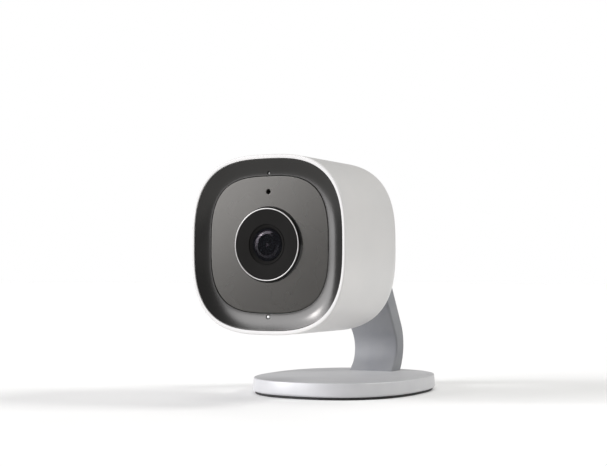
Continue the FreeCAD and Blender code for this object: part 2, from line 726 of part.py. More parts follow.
def frame_screws():
    seat = FRAME_DEPTH + FRAME_THICKNESS
    screws = [small_screw(x, z, seat, 5.1) for x, z in mirrored(FRAME_SCREW_X, FRAME_SCREW_Z)]
    screws += [small_screw(x, 0, MOUNT_SCREW_SEAT, 3.0) for x in (-MOUNT_SCREW_X, MOUNT_SCREW_X)]
    return group(screws)


def board_screws():
    screws = [small_screw(x, 0, sum(MAIN_BOARD), 6.0) for x in (-STANDOFF_X, STANDOFF_X)]
    screws += [small_screw(x, 0, sum(SENSOR_BOARD), 4.6) for x in (-SENSOR_SCREW_X, SENSOR_SCREW_X)]
    port_head, port_head_height = 1.5, 1.0
    for x, z in port_screw_places():
        screws.append(screw(x, z, port_head, port_head_height, SMALL_SCREW, PORT_BOARD[0], 6.0, 1))
    return group(screws)


def rear_cover_screws():
    places = mirrored(COVER_POST_X, COVER_POST_Z)
    return group([screw(x, z, 1.8, 1.2, COVER_SCREW, COVER_SCREW_SEAT, 10.5) for x, z in places])


# ---- knuckle -------------------------------------------------------------------------------------

def hinge_depth():
    """The hinge's axis as a depth behind the front rim."""
    return HINGE_Y - RIM_Y


def tilt_knuckle():
    """Tongue on the hinge pin, a neck, a flange with a stop lug, and the stem that the head swivels on."""
    tongue = cross_rod(-TONGUE_HALF_WIDTH, TONGUE_HALF_WIDTH, TONGUE_RADIUS)
    flange_back = FLANGE_FRONT_DEPTH + FLANGE_THICKNESS
    neck = block((-TONGUE_HALF_WIDTH, TONGUE_HALF_WIDTH), (-3.4, 3.4), flange_back - 0.5, hinge_depth())
    flange = rod(0, 0, FLANGE_RADIUS, FLANGE_FRONT_DEPTH, flange_back)
    lug = block((-LUG_HALF_WIDTH, LUG_HALF_WIDTH), (7, LUG_TIP), FLANGE_FRONT_DEPTH, flange_back)
    stem = rod(0, 0, STEM_RADIUS, STEM_FRONT, FLANGE_FRONT_DEPTH)
    body = tongue.fuse([neck, flange, lug, stem])
    pin_hole = cross_rod(-10, 10, PIN_RADIUS + RUNNING_CLEARANCE)
    return body.cut([pin_hole, rod(0, 0, SWIVEL_SCREW, 40, 54)])


def swivel_washer():
    return ring(SWIVEL_SCREW, 7.0, WASHER_FRONT, STEM_FRONT)


def swivel_screw():
    """Its head clamps the washer to the stem and its shank runs back into the stem."""
    return screw(0, 0, 2.8, 2.0, SWIVEL_SCREW, WASHER_FRONT, 7.5, 1)


# ---- stand ---------------------------------------------------------------------------------------

def arm_side():
    """Side view of the arm: a straight leaning length, then a bend down to the foot."""
    lean = math.radians(ARM_LEAN)
    foot = math.radians(ARM_FOOT_TURN)
    half = ARM_THICKNESS / 2
    along = Vector(0, math.sin(lean), -math.cos(lean))
    across = Vector(0, math.cos(lean), math.sin(lean))
    hinge = Vector(0, HINGE_Y, HEAD_AXIS_Z)
    bend_start = hinge + along * ARM_STRAIGHT
    centre = bend_start - across * ARM_BEND_RADIUS

    def on_bend(radius, angle):
        return centre + Vector(0, math.cos(angle), math.sin(angle)) * radius

    back_radius = ARM_BEND_RADIUS + half
    front_radius = ARM_BEND_RADIUS - half
    back_end_angle = math.asin((BASE_TOP - centre.z) / back_radius)
    back_foot = on_bend(back_radius, back_end_angle)
    front_bend_end = on_bend(front_radius, -foot)
    drop = front_bend_end.z - BASE_TOP
    front_foot = Vector(0, front_bend_end.y - drop * math.tan(foot), BASE_TOP)
    back_arc = Part.Arc(on_bend(back_radius, lean), on_bend(back_radius, 0), back_foot)
    front_arc = Part.Arc(front_bend_end, on_bend(front_radius, 0), on_bend(front_radius, lean))
    edges = [
        Part.LineSegment(hinge + across * half, on_bend(back_radius, lean)),
        back_arc,
        Part.LineSegment(back_foot, front_foot),
        Part.LineSegment(front_foot, front_bend_end),
        front_arc,
        Part.LineSegment(on_bend(front_radius, lean), hinge - across * half),
        Part.LineSegment(hinge - across * half, hinge + across * half),
    ]
    return Part.Wire([edge.toShape() for edge in edges])


def width_taper():
    """Front view of the arm: slightly wider at the top than at the foot."""
    slope = (ARM_TOP_WIDTH - ARM_FOOT_WIDTH) / 2 / (HEAD_AXIS_Z - BASE_TOP)
    low, high = -10.0, 80.0
    half_low = ARM_FOOT_WIDTH / 2 + slope * (low - BASE_TOP)
    half_high = ARM_FOOT_WIDTH / 2 + slope * (high - BASE_TOP)
    corners = [(-half_low, low), (half_low, low), (half_high, high), (-half_high, high)]
    points = [Vector(x, -40, z) for x, z in corners]
    return Part.Face(Part.makePolygon(points + points[:1])).extrude(Vector(0, 100, 0))


def tang(gap, bottom, top):
    """Rectangular foot under the arm that keys into the base, or its slot when given a gap."""
    width, length = TANG_SIZE
    corner = Vector(-width / 2 - gap, ARM_SCREW_Y - length / 2 - gap, bottom)
    return Part.makeBox(width + 2 * gap, length + 2 * gap, top - bottom, corner)


def arm_screw_places():
    return [(-ARM_SCREW_X, ARM_SCREW_Y), (ARM_SCREW_X, ARM_SCREW_Y)]


def stand_arm():
    half = 15
    band = Part.Face(arm_side()).extrude(Vector(2 * half, 0, 0))
    band.translate(Vector(-half, 0, 0))
    body = band.fuse(cross_rod(-half, half, BARREL_OF_HINGE)).common(width_taper())
    body = body.cut(cross_rod(-CLEVIS_HALF_GAP, CLEVIS_HALF_GAP, BARREL_OF_HINGE + 1.3))
    body = body.fuse(tang(0, TANG_BOTTOM, BASE_TOP + 1))
    holes = [cross_rod(-PIN_HALF_LENGTH, PIN_HALF_LENGTH, PIN_RADIUS)]
    holes.append(cross_rod(PIN_HALF_LENGTH, half, CAP_RADIUS))
    holes.append(cross_rod(-half, -PIN_HALF_LENGTH, CAP_RADIUS))
    holes += [post(x, y, ARM_SCREW_RADIUS, 0, ARM_SCREW_TOP) for x, y in arm_screw_places()]
    return body.cut(holes)


def hinge_pin():
    return cross_rod(-PIN_HALF_LENGTH, PIN_HALF_LENGTH, PIN_RADIUS)


def friction_washers():
    """Spring washers, one on each side of the tongue."""
    inner = TONGUE_HALF_WIDTH + 0.05
    sides = [(inner, CLEVIS_HALF_GAP), (-CLEVIS_HALF_GAP, -inner)]
    return group([cross_rod(a, b, 4.5).cut(cross_rod(a, b, PIN_RADIUS)) for a, b in sides])


def hinge_caps():
    """Plugs that hide the ends of the pin."""
    outer = PIN_HALF_LENGTH + CAP_LENGTH
    sides = [(PIN_HALF_LENGTH, outer), (-outer, -PIN_HALF_LENGTH)]
    return group([cross_rod(a, b, CAP_RADIUS) for a, b in sides])


def base_cover():
    body = base_prism(0, PAD_THICKNESS, BASE_TOP)
    lower_edge = min(body.Edges, key=lambda edge: edge.BoundBox.ZMax)
    body = body.makeFillet(BASE_LOWER_RADIUS, [lower_edge])
    ceiling = BASE_TOP - BASE_WALL
    body = body.cut(base_prism(SIDE_WALL, PAD_THICKNESS - 1, ceiling))
    places = mirrored(BASE_SCREW_X, BASE_SCREW_Y)
    body = body.fuse([post(x, y, BOSS_RADIUS, BOSS_BOTTOM, ceiling) for x, y in places])
    holes = [post(x, y, BASE_SCREW_RADIUS, 0, BASE_SCREW_TOP) for x, y in places]
    holes.append(tang(0.05, 0, BASE_TOP + 1))
    return body.cut(holes)


def base_weight():
    """Steel plate that keeps the camera from tipping."""
    body = base_prism(SIDE_WALL + WEIGHT_GAP, PAD_THICKNESS, BASE_TOP - BASE_WALL)
    holes = []
    for x, y in mirrored(BASE_SCREW_X, BASE_SCREW_Y):
        holes.append(post(x, y, BOSS_RADIUS + 0.1, BOSS_BOTTOM, BASE_TOP))
        holes.append(post(x, y, BASE_SCREW_RADIUS + 0.1, 0, BASE_TOP))
        holes.append(post(x, y, BASE_HEAD_RADIUS + 0.1, 0, SCREW_HEAD_TOP))
    holes.append(tang(0.1, TANG_BOTTOM, BASE_TOP))
    for x, y in arm_screw_places():
        holes.append(post(x, y, ARM_SCREW_RADIUS + 0.1, 0, BASE_TOP))
        holes.append(post(x, y, ARM_HEAD_RADIUS + 0.1, 0, SCREW_HEAD_TOP))
    return body.cut(holes)


def base_pad():
    return base_prism(PAD_INSET, 0, PAD_THICKNESS)


def upright_screw(x, y, head_radius, shank_radius, top):
    """Flat-head screw driven up from the underside of the base."""
    head = post(x, y, head_radius, PAD_THICKNESS, SCREW_HEAD_TOP)
    return head.fuse(post(x, y, shank_radius, SCREW_HEAD_TOP, top))


def base_screws():
    places = mirrored(BASE_SCREW_X, BASE_SCREW_Y)
    sizes = (BASE_HEAD_RADIUS, BASE_SCREW_RADIUS, BASE_SCREW_TOP)
    return group([upright_screw(x, y, *sizes) for x, y in places])


def arm_screws():
    sizes = (ARM_HEAD_RADIUS, ARM_SCREW_RADIUS, ARM_SCREW_TOP)
    return group([upright_screw(x, y, *sizes) for x, y in arm_screw_places()])


PIECES = [
    housing_shell, rear_cover, inner_frame, front_bezel, front_plate, lens_ring, lens_trim_ring, lens_hood,
    front_lens, middle_lens, rear_lens, lens_barrel, aperture_stop, lens_mount, ir_filter_slide,
    ir_filter_coil, image_sensor, sensor_board, ir_led_board, ir_leds, microphone, microphone_gasket, light_sensor,
    light_sensor_window, status_led, status_light_window, main_board, processor, shield_can, thermal_pad,
    heat_spreader, port_board, port_connector, usb_socket, button_switch, switch_plunger, setup_button,
    speaker, speaker_gasket, speaker_leads, wifi_antenna, flex_cable, led_cable, frame_screws, board_screws,
    rear_cover_screws, tilt_knuckle, swivel_washer, swivel_screw, stand_arm, hinge_pin, friction_washers,
    hinge_caps, base_cover, base_weight, base_pad, base_screws, arm_screws,
]


def save(name, shape):
    if not shape.isValid():
        raise ValueError(name + " is not a valid shape")
    shape.exportStep(os.path.join("parts", name + ".step"))
    print(f"{name:22s} {len(shape.Solids):3d} solids {shape.Volume:10.1f} mm3")


os.makedirs("parts", exist_ok=True)
for piece in PIECES:
    save(piece.__name__, piece())
save("ir_cut_glass", filter_glass(filter_windows()[0]))
save("clear_glass", filter_glass(filter_windows()[1]))
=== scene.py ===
"""How the security camera looks: detailed pieces, materials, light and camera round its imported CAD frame.

Shape functions work in millimetres, and Solid.make writes metres. Inside the head a point is (x, z, depth):
x and z are measured from the head's axis, and depth is the distance behind the front rim.
"""

import json
import math
from collections import namedtuple

import bmesh
import bpy
import numpy as np
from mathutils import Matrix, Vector
from mathutils.geometry import delaunay_2d_cdt

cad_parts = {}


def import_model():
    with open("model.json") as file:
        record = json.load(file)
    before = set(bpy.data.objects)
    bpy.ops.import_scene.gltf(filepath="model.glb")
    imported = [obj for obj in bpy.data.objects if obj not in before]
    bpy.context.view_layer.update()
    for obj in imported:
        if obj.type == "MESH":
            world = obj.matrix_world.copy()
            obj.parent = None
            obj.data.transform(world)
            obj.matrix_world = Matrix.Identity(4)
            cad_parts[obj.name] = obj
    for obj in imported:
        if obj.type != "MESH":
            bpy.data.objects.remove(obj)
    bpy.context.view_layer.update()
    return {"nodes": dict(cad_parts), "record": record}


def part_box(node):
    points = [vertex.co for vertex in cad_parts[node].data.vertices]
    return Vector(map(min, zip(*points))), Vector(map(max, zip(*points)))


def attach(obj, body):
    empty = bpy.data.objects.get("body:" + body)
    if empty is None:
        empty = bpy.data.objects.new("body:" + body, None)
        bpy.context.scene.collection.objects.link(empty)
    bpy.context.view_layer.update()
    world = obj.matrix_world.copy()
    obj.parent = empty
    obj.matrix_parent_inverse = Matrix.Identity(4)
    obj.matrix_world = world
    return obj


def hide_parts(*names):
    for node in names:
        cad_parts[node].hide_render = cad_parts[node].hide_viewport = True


MM = 0.001

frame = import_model()


def box_mm(node):
    low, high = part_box(node)
    return low / MM, high / MM


# ---- sizes -----------------------------------------------------------------------------------------

# Head: its place and outer size come from the frame
SHELL_LOW, SHELL_HIGH = box_mm("housing_shell")
RIM_Y = SHELL_LOW.y
AXIS_Z = (SHELL_LOW.z + SHELL_HIGH.z) / 2
HEAD_HALF_WIDTH = SHELL_HIGH.x
HEAD_HALF_HEIGHT = (SHELL_HIGH.z - SHELL_LOW.z) / 2
HEAD_POWER = 2.9
HEAD_STRAIGHT = 39.2
DOME_RISE = 17.7
WALL = 1.8
RIM_WALL_SIDE = 1.05
RIM_WALL_TOP = 1.4
RIM_ROUND = 0.4
RIM_INNER_ROUND = 0.12
BEZEL_SEAT_DEPTH = 4.3
INNER_END_DEPTH = 46.6

# Rear cover
COVER_HALF_WIDTH = 24.5
COVER_HALF_HEIGHT = 25.2
COVER_SEAT_DEPTH = 48.2
COVER_LEDGE = 1.3
COVER_GAP = 0.1
COVER_BACK_DEPTH = 45.6
SEAM_ROUND = 0.3
MOUTH_ROUND = 0.3
SCREW_X, SCREW_Z = 15.5, 17.0
SCREW_HEAD_RADIUS, SCREW_HEAD_FLOOR, SCREW_BORE_RADIUS = 2.0, 48.5, 1.0
PORT_X, PORT_Z = 14.5, -10.4  # the button's place; the power inlet mirrors it at -PORT_X
INLET_HALF_WIDTH, INLET_HALF_HEIGHT, INLET_ROUND, INLET_FLOOR = 6.0, 3.75, 1.4, 46.5
SOCKET_HALF_WIDTH, SOCKET_HALF_HEIGHT = 4.55, 1.7
BUTTON_DISH_RADIUS, BUTTON_DISH_FLOOR, BUTTON_BORE_RADIUS = 4.0, 52.6, 2.5
SPEAKER_Z = 16.8
SPEAKER_PITCH = 2.6
SPEAKER_HOLE_RADIUS = 0.7

# Front
BEZEL_FRONT_DEPTH = 0.3
BEZEL_GAP = 0.1
PLATE_DEPTH = 1.8
PLATE_BACK = 3.3
PLATE_HALF_WIDTH = 22.93
PLATE_HALF_HEIGHT = 23.42
PLATE_POWER = 3.02
PLATE_GAP = 0.14
MIC_Z, MIC_RADIUS = 18.1, 0.8
SENSOR_Z, SENSOR_HOLE_RADIUS, SENSOR_WINDOW_RADIUS = 24.5, 0.54, 0.45
STATUS_Z, STATUS_HOLE_RADIUS, STATUS_WINDOW_RADIUS = -24.7, 0.76, 0.5

# Lens
RING_BASE_RADIUS = 13.1
RING_FRONT_RADIUS = 12.47
RING_BORE_RADIUS = 11.2
RING_SPIGOT_RADIUS = 12.3
RING_FRONT_DEPTH = 0.3
RING_BACK_DEPTH = 5.0
TRIM_WIDTH = 0.4
HOOD_DEPTH = 0.45
HOOD_MOUTH_RADIUS = 6.95
HOOD_OUTER_RADIUS = 11.15
HOOD_BACK_DEPTH = 3.3
LENS_RADIUS = 5.6
LENS_EDGE_DEPTH = 2.0
LENS_SAG = 1.4
LENS_BACK_DEPTH = 3.6

# Stand
PIN_LOW, PIN_HIGH = box_mm("hinge_pin")
HINGE_Y = (PIN_LOW.y + PIN_HIGH.y) / 2
BASE_LOW, BASE_HIGH = box_mm("base_cover")
BASE_TOP = BASE_HIGH.z
BASE_BOTTOM = BASE_LOW.z
BASE_DRAFT = 0.3
BASE_POWER = 2.4
BASE_TOP_ROUND = 0.4
BASE_BOTTOM_ROUND = 1.0
ARM_THICKNESS = 7.1
ARM_LEAN = math.radians(34.4)
ARM_STRAIGHT = 38.8
ARM_BEND_RADIUS = 13.05
ARM_FOOT_TURN = math.radians(40.0)
ARM_FOOT_WIDTH = 18.3
ARM_TOP_WIDTH = 21.5
ARM_EDGE_ROUND = 0.8
ARM_SINK = 1.2
HINGE_BARREL_RADIUS = 5.6
CLEVIS_HALF_GAP = 4.1
CLEVIS_RADIUS = 6.9
TONGUE_RADIUS = 5.2
TONGUE_HALF_WIDTH = 3.7
CAP_RADIUS = 3.0
CAP_FLOOR_X = 8.75
STEM_RADIUS = 4.0
STEM_FRONT_DEPTH = 47.0
FLANGE_RADIUS = 9.0
FLANGE_FRONT_DEPTH = 54.35
FLANGE_THICKNESS = 1.6
RECESS_DEPTH = 54.2

# Camera: its place is that of the picture it matches
CAMERA_AIM = Vector((11.4, RIM_Y + 5.9, 58.5))
CAMERA_AZIMUTH = 27.74
CAMERA_ELEVATION = -1.96
CAMERA_DISTANCE = 422.9
CAMERA_LENS = 73.67
SENSOR_WIDTH = 36

# World: how strongly it lights things, where 1 is what the camera sees
SURROUND_LIGHTING = 0.36
FLOOR_HALF = 6.0

# Fineness of the meshes
OUTLINE_POINTS = 256
CIRCLE_POINTS = 96
ROUND_STEPS = 4
SUPPORT = 0.12
SHARP_ANGLE = math.radians(35)


# ---- outlines --------------------------------------------------------------------------------------

def superellipse(half_a, half_b, power, count=OUTLINE_POINTS):
    """Points of |a/half_a|^power + |b/half_b|^power = 1, evenly spaced in angle."""
    points = []
    for i in range(count):
        angle = 2 * math.pi * i / count
        c, s = math.cos(angle), math.sin(angle)
        radius = (abs(c / half_a) ** power + abs(s / half_b) ** power) ** (-1 / power)
        points.append((radius * c, radius * s))
    return points


def circle(x, z, radius, count=CIRCLE_POINTS):
    turns = [2 * math.pi * i / count for i in range(count)]
    return [(x + radius * math.cos(turn), z + radius * math.sin(turn)) for turn in turns]


def rounded_box(x, z, half_width, half_height, radius, steps=8):
    """Rectangle with round corners. With radius equal to half_height it is a slot with round ends."""
    points = []
    for quarter, (side, level) in enumerate(((1, 1), (-1, 1), (-1, -1), (1, -1))):
        centre_x = x + side * (half_width - radius)
        centre_z = z + level * (half_height - radius)
        for step in range(steps + 1):
            turn = math.pi / 2 * (quarter + step / steps)
            points.append((centre_x + radius * math.cos(turn), centre_z + radius * math.sin(turn)))
    return points


def offset(outline, distance):
    """The outline moved outwards by a distance, or inwards by a negative one."""
    moved = []
    for i, (x, z) in enumerate(outline):
        before, after = outline[i - 1], outline[(i + 1) % len(outline)]
        along_x, along_z = after[0] - before[0], after[1] - before[1]
        length = math.hypot(along_x, along_z)
        moved.append((x + along_z / length * distance, z - along_x / length * distance))
    return moved


def quarter_round(radius, steps=ROUND_STEPS):
    """Steps (inset, drop) of a quarter circle from a face down to its side wall."""
    turns = [math.pi / 2 * step / steps for step in range(steps + 1)]
    return [(radius * (1 - math.sin(turn)), radius * (1 - math.cos(turn))) for turn in turns]


def ease(low, high, share):
    """From low to high with a level start and end, as share goes from 0 to 1."""
    share = min(1.0, max(0.0, share))
    return low + (high - low) * share * share * (3 - 2 * share)


def level(outline, depth):
    return [(x, z, depth) for x, z in outline]


def flat(ring):
    return [(x, z) for x, z, _ in ring]


def inside(points, outline):
    """Which of the points lie inside the outline, by crossings of a ray."""
    x, z = points[:, :1], points[:, 1:]
    a = np.array(outline)
    b = np.roll(a, -1, axis=0)
    spans = (a[:, 1] > z) != (b[:, 1] > z)
    rise = np.where(a[:, 1] == b[:, 1], 1.0, b[:, 1] - a[:, 1])
    crossing = (b[:, 0] - a[:, 0]) * (z - a[:, 1]) / rise + a[:, 0]
    return np.logical_and(spans, x < crossing).sum(axis=1) % 2 == 1


# ---- solids ----------------------------------------------------------------------------------------

def in_head(point):
    """Row-frame place, in metres, of a point given as (x, z, depth) in the head."""
    x, z, depth = point
    return Vector((x, RIM_Y + depth, AXIS_Z + z)) * MM


def in_stand(point):
    """Row-frame place, in metres, of a point given as (x, y, z) in millimetres."""
    return Vector(point) * MM


class Solid:
    """Faces of one piece. Its parts are laid edge to edge, and make() merges them into a closed mesh."""

    def __init__(self, place=in_head):
        self.place = place
        self.points = []
        self.faces = []

    def add(self, points):
        start = len(self.points)
        self.points += points
        return range(start, start + len(points))

    def strips(self, rings, closed=False):
        """Quads between each ring and the next, and from the last back to the first if closed."""
        pairs = list(zip(rings, rings[1:]))
        if closed:
            pairs.append((rings[-1], rings[0]))
        for ring_a, ring_b in pairs:
            a, b = self.add(ring_a), self.add(ring_b)
            for i in range(len(a)):
                j = (i + 1) % len(a)
                self.faces.append((a[i], a[j], b[j], b[i]))

    def loft(self, rings):
        """Strips along the rings, with a flat cap over the first and the last."""
        self.strips(rings)
        for ring in (rings[0], rings[-1]):
            self.faces.append(tuple(self.add(ring)))

    def region(self, border, holes, surface, fill=()):
        """Triangles inside the border and outside the holes, at the depth that surface(x, z) gives."""
        points, edges = [], []
        for loop in [border, *holes]:
            start, count = len(points), len(loop)
            points += loop
            edges += [(start + i, start + (i + 1) % count) for i in range(count)]
        points += fill
        corners, _, triangles, *_ = delaunay_2d_cdt([Vector(p) for p in points], edges, [], 0, 1e-5)
        corners = np.array([tuple(c) for c in corners])
        centres = corners[np.array(triangles)].mean(axis=1)
        wanted = inside(centres, border)
        for hole in holes:
            wanted &= ~inside(centres, hole)
        index = self.add([(x, z, surface(x, z)) for x, z in corners])
        self.faces += [tuple(index[i] for i in triangles[t]) for t in np.flatnonzero(wanted)]

    def make(self, name, slot, body, *nodes):
        mesh = bpy.data.meshes.new(name)
        mesh.from_pydata([self.place(p) for p in self.points], [], self.faces)
        finish_mesh(mesh)
        return show(name, mesh, slot, body, *nodes)


def finish_mesh(mesh):
    """Merges the seams of a mesh, turns its faces outwards and smooths all but its sharp edges."""
    work = bmesh.new()
    work.from_mesh(mesh)
    bmesh.ops.remove_doubles(work, verts=work.verts, dist=0.002 * MM)
    loose = [vert for vert in work.verts if not vert.link_faces]
    bmesh.ops.delete(work, geom=loose, context="VERTS")
    bmesh.ops.recalc_face_normals(work, faces=work.faces)
    work.to_mesh(mesh)
    work.free()
    mesh.shade_smooth()
    mesh.set_sharp_from_angle(angle=SHARP_ANGLE)


def add_object(name, data):
    item = bpy.data.objects.new(name, data)
    bpy.context.scene.collection.objects.link(item)
    return item


def show(name, mesh, slot, body, *nodes):
    """Puts a mesh in the scene as a piece that rides on a body and stands for CAD nodes."""
    piece = add_object(name, mesh)
    mesh.materials.append(MATERIALS[slot])
    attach(piece, body)
    if nodes:
        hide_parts(*nodes)
    return piece


def rounded_rim(outline, radius, surface, out, side):
    """Rings from the face over its rounded edge: side is -1 for a border and 1 for the mouth of a hole.

    The face looks towards greater depth if out is 1, and towards smaller depth if out is -1."""
    rings = [[(x, z, surface(x, z)) for x, z in offset(outline, side * (radius + SUPPORT))]]
    for inset, drop in quarter_round(radius):
        rings.append([(x, z, surface(x, z) - out * drop) for x, z in offset(outline, side * inset)])
    return rings


Hole = namedtuple("Hole", "outline edge floor bores", defaults=(None, ()))


def panel(border, edge, surface, out, back, holes=(), fill=(), foot=()):
    """Closed solid with a shaped face, a flat back, and holes with rounded mouths.

    A hole with a floor ends at that depth, and its bores run on to the back. foot lists the steps of the
    side wall on its way to the back as (outline, depth)."""
    solid = Solid()
    rim = rounded_rim(border, edge, surface, out, -1)
    mouths = [rounded_rim(hole.outline, hole.edge, surface, out, 1) for hole in holes]
    solid.region(flat(rim[0]), [flat(mouth[0]) for mouth in mouths], surface, list(fill))
    through = []
    for hole, mouth in zip(holes, mouths):
        floor = back if hole.floor is None else hole.floor
        solid.strips(mouth + [level(hole.outline, floor)])
        if hole.floor is None:
            through.append(hole.outline)
            continue
        solid.region(hole.outline, list(hole.bores), lambda x, z: floor)
        for bore in hole.bores:
            solid.strips([level(bore, floor), level(bore, back)])
            through.append(bore)
    steps = [level(outline, depth) for outline, depth in foot] or [level(border, back)]
    solid.strips(rim + steps)
    solid.region(flat(steps[-1]), through, lambda x, z: back)
    return solid


def lathe(profile, count=CIRCLE_POINTS, x=0.0, z=0.0):
    """Closed solid turned about a line along the head's axis. Its profile is a list of (radius, depth):
    a loop for a ring, or a line that starts and ends at radius 0 for a disc."""
    solid = Solid()
    rings = [level(circle(x, z, radius, count), depth) for radius, depth in profile if radius > 0]
    if profile[0][0] == 0:
        solid.loft(rings)
    else:
        solid.strips(rings, closed=True)
    return solid


def arc(centre_radius, centre_depth, radius, start, end, steps=ROUND_STEPS):
    """Points of a profile's arc, in degrees: 0 points outwards and 90 towards greater depth."""
    points = []
    for i in range(steps + 1):
        turn = math.radians(start + (end - start) * i / steps)
        points.append((centre_radius + radius * math.cos(turn), centre_depth + radius * math.sin(turn)))
    return points


def combine(piece, other, operation):
    """Applies a boolean of another piece to this one and removes the other."""
    modifier = piece.modifiers.new("combine", "BOOLEAN")
    modifier.operation = operation
    modifier.solver = "EXACT"
    modifier.object = other
    bpy.context.view_layer.update()
    depsgraph = bpy.context.evaluated_depsgraph_get()
    mesh = bpy.data.meshes.new_from_object(piece.evaluated_get(depsgraph))
    piece.modifiers.clear()
    piece.data = mesh
    bpy.data.objects.remove(other)
    finish_mesh(mesh)


# ---- materials -------------------------------------------------------------------------------------

class Shader:
    """A material's node tree, with the few kinds of node that the finishes are made of."""

    def __init__(self, name):
        self.material = bpy.data.materials.new(name)
        self.material.use_nodes = True
        self.tree = self.material.node_tree
        self.main = self.tree.nodes["Principled BSDF"]
        self.place = self.tree.nodes.new("ShaderNodeTexCoord").outputs["Object"]

    def link(self, source, target):
        self.tree.links.new(source, target)

    def noise(self, size, detail=2.0):
        """Soft noise whose features are about size millimetres across."""
        node = self.tree.nodes.new("ShaderNodeTexNoise")
        node.inputs["Scale"].default_value = 1 / (size * MM)
        node.inputs["Detail"].default_value = detail
        self.link(self.place, node.inputs["Vector"])
        return node.outputs["Fac"]

    def cells(self, size, output="Color"):
        """Random cells about size millimetres across."""
        node = self.tree.nodes.new("ShaderNodeTexVoronoi")
        node.inputs["Scale"].default_value = 1 / (size * MM)
        self.link(self.place, node.inputs["Vector"])
        return node.outputs[output]

    def bands(self, size, direction):
        """Parallel bands, size millimetres from one to the next, along X, Y or Z."""
        node = self.tree.nodes.new("ShaderNodeTexWave")
        node.bands_direction = direction
        node.inputs["Scale"].default_value = 0.314 / (size * MM)
        self.link(self.place, node.inputs["Vector"])
        return node.outputs["Fac"]

    def ramp(self, source, stops):
        """Colour ramp from a list of (position, colour)."""
        node = self.tree.nodes.new("ShaderNodeValToRGB")
        while len(node.color_ramp.elements) < len(stops):
            node.color_ramp.elements.new(0.5)
        for element, (position, colour) in zip(node.color_ramp.elements, stops):
            element.position = position
            element.color = (*colour, 1)
        self.link(source, node.inputs["Fac"])
        return node.outputs["Color"]

    def between(self, source, low, high):
        """A number that follows source from low to high."""
        node = self.tree.nodes.new("ShaderNodeMapRange")
        node.inputs["To Min"].default_value = low
        node.inputs["To Max"].default_value = high
        self.link(source, node.inputs["Value"])
        return node.outputs["Result"]

    def bump(self, source, height, strength=1.0):
        """Relief whose height is given in millimetres, over what is already on the surface."""
        node = self.tree.nodes.new("ShaderNodeBump")
        node.inputs["Distance"].default_value = height * MM
        node.inputs["Strength"].default_value = strength
        if self.main.inputs["Normal"].is_linked:
            self.link(self.main.inputs["Normal"].links[0].from_socket, node.inputs["Normal"])
        self.link(source, node.inputs["Height"])
        self.link(node.outputs["Normal"], self.main.inputs["Normal"])

    def set(self, **sockets):
        """Uniform values, set on the shader's own sockets."""
        for name, value in sockets.items():
            self.main.inputs[name.replace("_", " ")].default_value = value


def finish(name, tones, gloss, grain, patch=12.0, **sockets):
    """A surface whose colour and roughness drift between two values and which has a fine grain.

    tones is two colours, gloss two roughnesses, grain (size, height) and patch the drift's size, in mm."""
    shader = Shader(name)
    drift = shader.noise(patch)
    speckle = shader.noise(grain[0])
    shader.link(shader.ramp(drift, [(0.3, tones[0]), (0.7, tones[1])]), shader.main.inputs["Base Color"])
    shader.link(shader.between(speckle, *gloss), shader.main.inputs["Roughness"])
    shader.bump(speckle, grain[1])
    shader.set(**sockets)
    return shader


def grey(value, warmth=0.0):
    """A linear grey, warmer by a share of its value."""
    return (value * (1 + warmth), value, value * (1 - warmth))


def pearl_paint():
    """Silver-white paint with fine flakes that catch the light one by one."""
    tones = ((0.53, 0.53, 0.545), (0.57, 0.57, 0.58))
    shader = finish("base_pearl", tones, (0.38, 0.50), (0.35, 0.004), 9.0)
    shader.bump(shader.cells(0.22), 0.006)
    shader.set(Metallic=0.1, Coat_Weight=0.12, Coat_Roughness=0.15)
    return shader


def arm_paint():
    """Cool grey satin paint."""
    tones = ((0.215, 0.22, 0.235), (0.245, 0.25, 0.26))
    return finish("arm_paint", tones, (0.55, 0.64), (0.25, 0.002), 10.0)


def circuit_board():
    """Green solder mask over faint tracks and pads."""
    shader = finish("circuit_board", (grey(0.02), grey(0.03)), (0.35, 0.5), (0.4, 0.01))
    gold, mask = (0.42, 0.33, 0.12), (0.01, 0.07, 0.035)
    tracks = shader.ramp(shader.cells(1.6, "Distance"), [(0.1, gold), (0.2, mask)])
    shader.link(tracks, shader.main.inputs["Base Color"])
    return shader


def wound_copper():
    """Enamelled wire in close turns."""
    shader = finish("copper_coil", ((0.55, 0.20, 0.08), (0.65, 0.26, 0.10)), (0.25, 0.35), (0.3, 0.003))
    shader.bump(shader.bands(0.3, "X"), 0.08)
    shader.set(Metallic=0.9)
    return shader


def flat_cable():
    """Ribbon with fine parallel conductors."""
    shader = finish("cable_plastic", (grey(0.55, 0.03), grey(0.62, 0.03)), (0.4, 0.5), (0.3, 0.003))
    shader.bump(shader.bands(0.8, "X"), 0.05)
    return shader


def brushed_steel():
    shader = finish("steel", (grey(0.50), grey(0.58)), (0.22, 0.4), (0.08, 0.002))
    shader.set(Metallic=1.0)
    return shader


def lens_glass():
    """Deep dark glass under a faintly violet anti-reflection coating."""
    tones = ((0.030, 0.036, 0.043), (0.033, 0.039, 0.047))
    shader = finish("lens_glass", tones, (0.02, 0.04), (0.5, 0.0001))
    shader.set(Transmission_Weight=0.9, IOR=1.5, Specular_Tint=(0.25, 0.21, 0.245, 1))
    return shader


def coated_glass():
    """Dark inner glass whose coating throws back blue."""
    tones = ((0.004, 0.008, 0.03), (0.006, 0.012, 0.05))
    shader = finish("coated_glass", tones, (0.05, 0.08), (0.5, 0.0001))
    shader.set(Specular_Tint=(0.35, 0.5, 1.0, 1), Coat_Weight=0.3, Coat_Tint=(0.4, 0.55, 1.0, 1))
    return shader


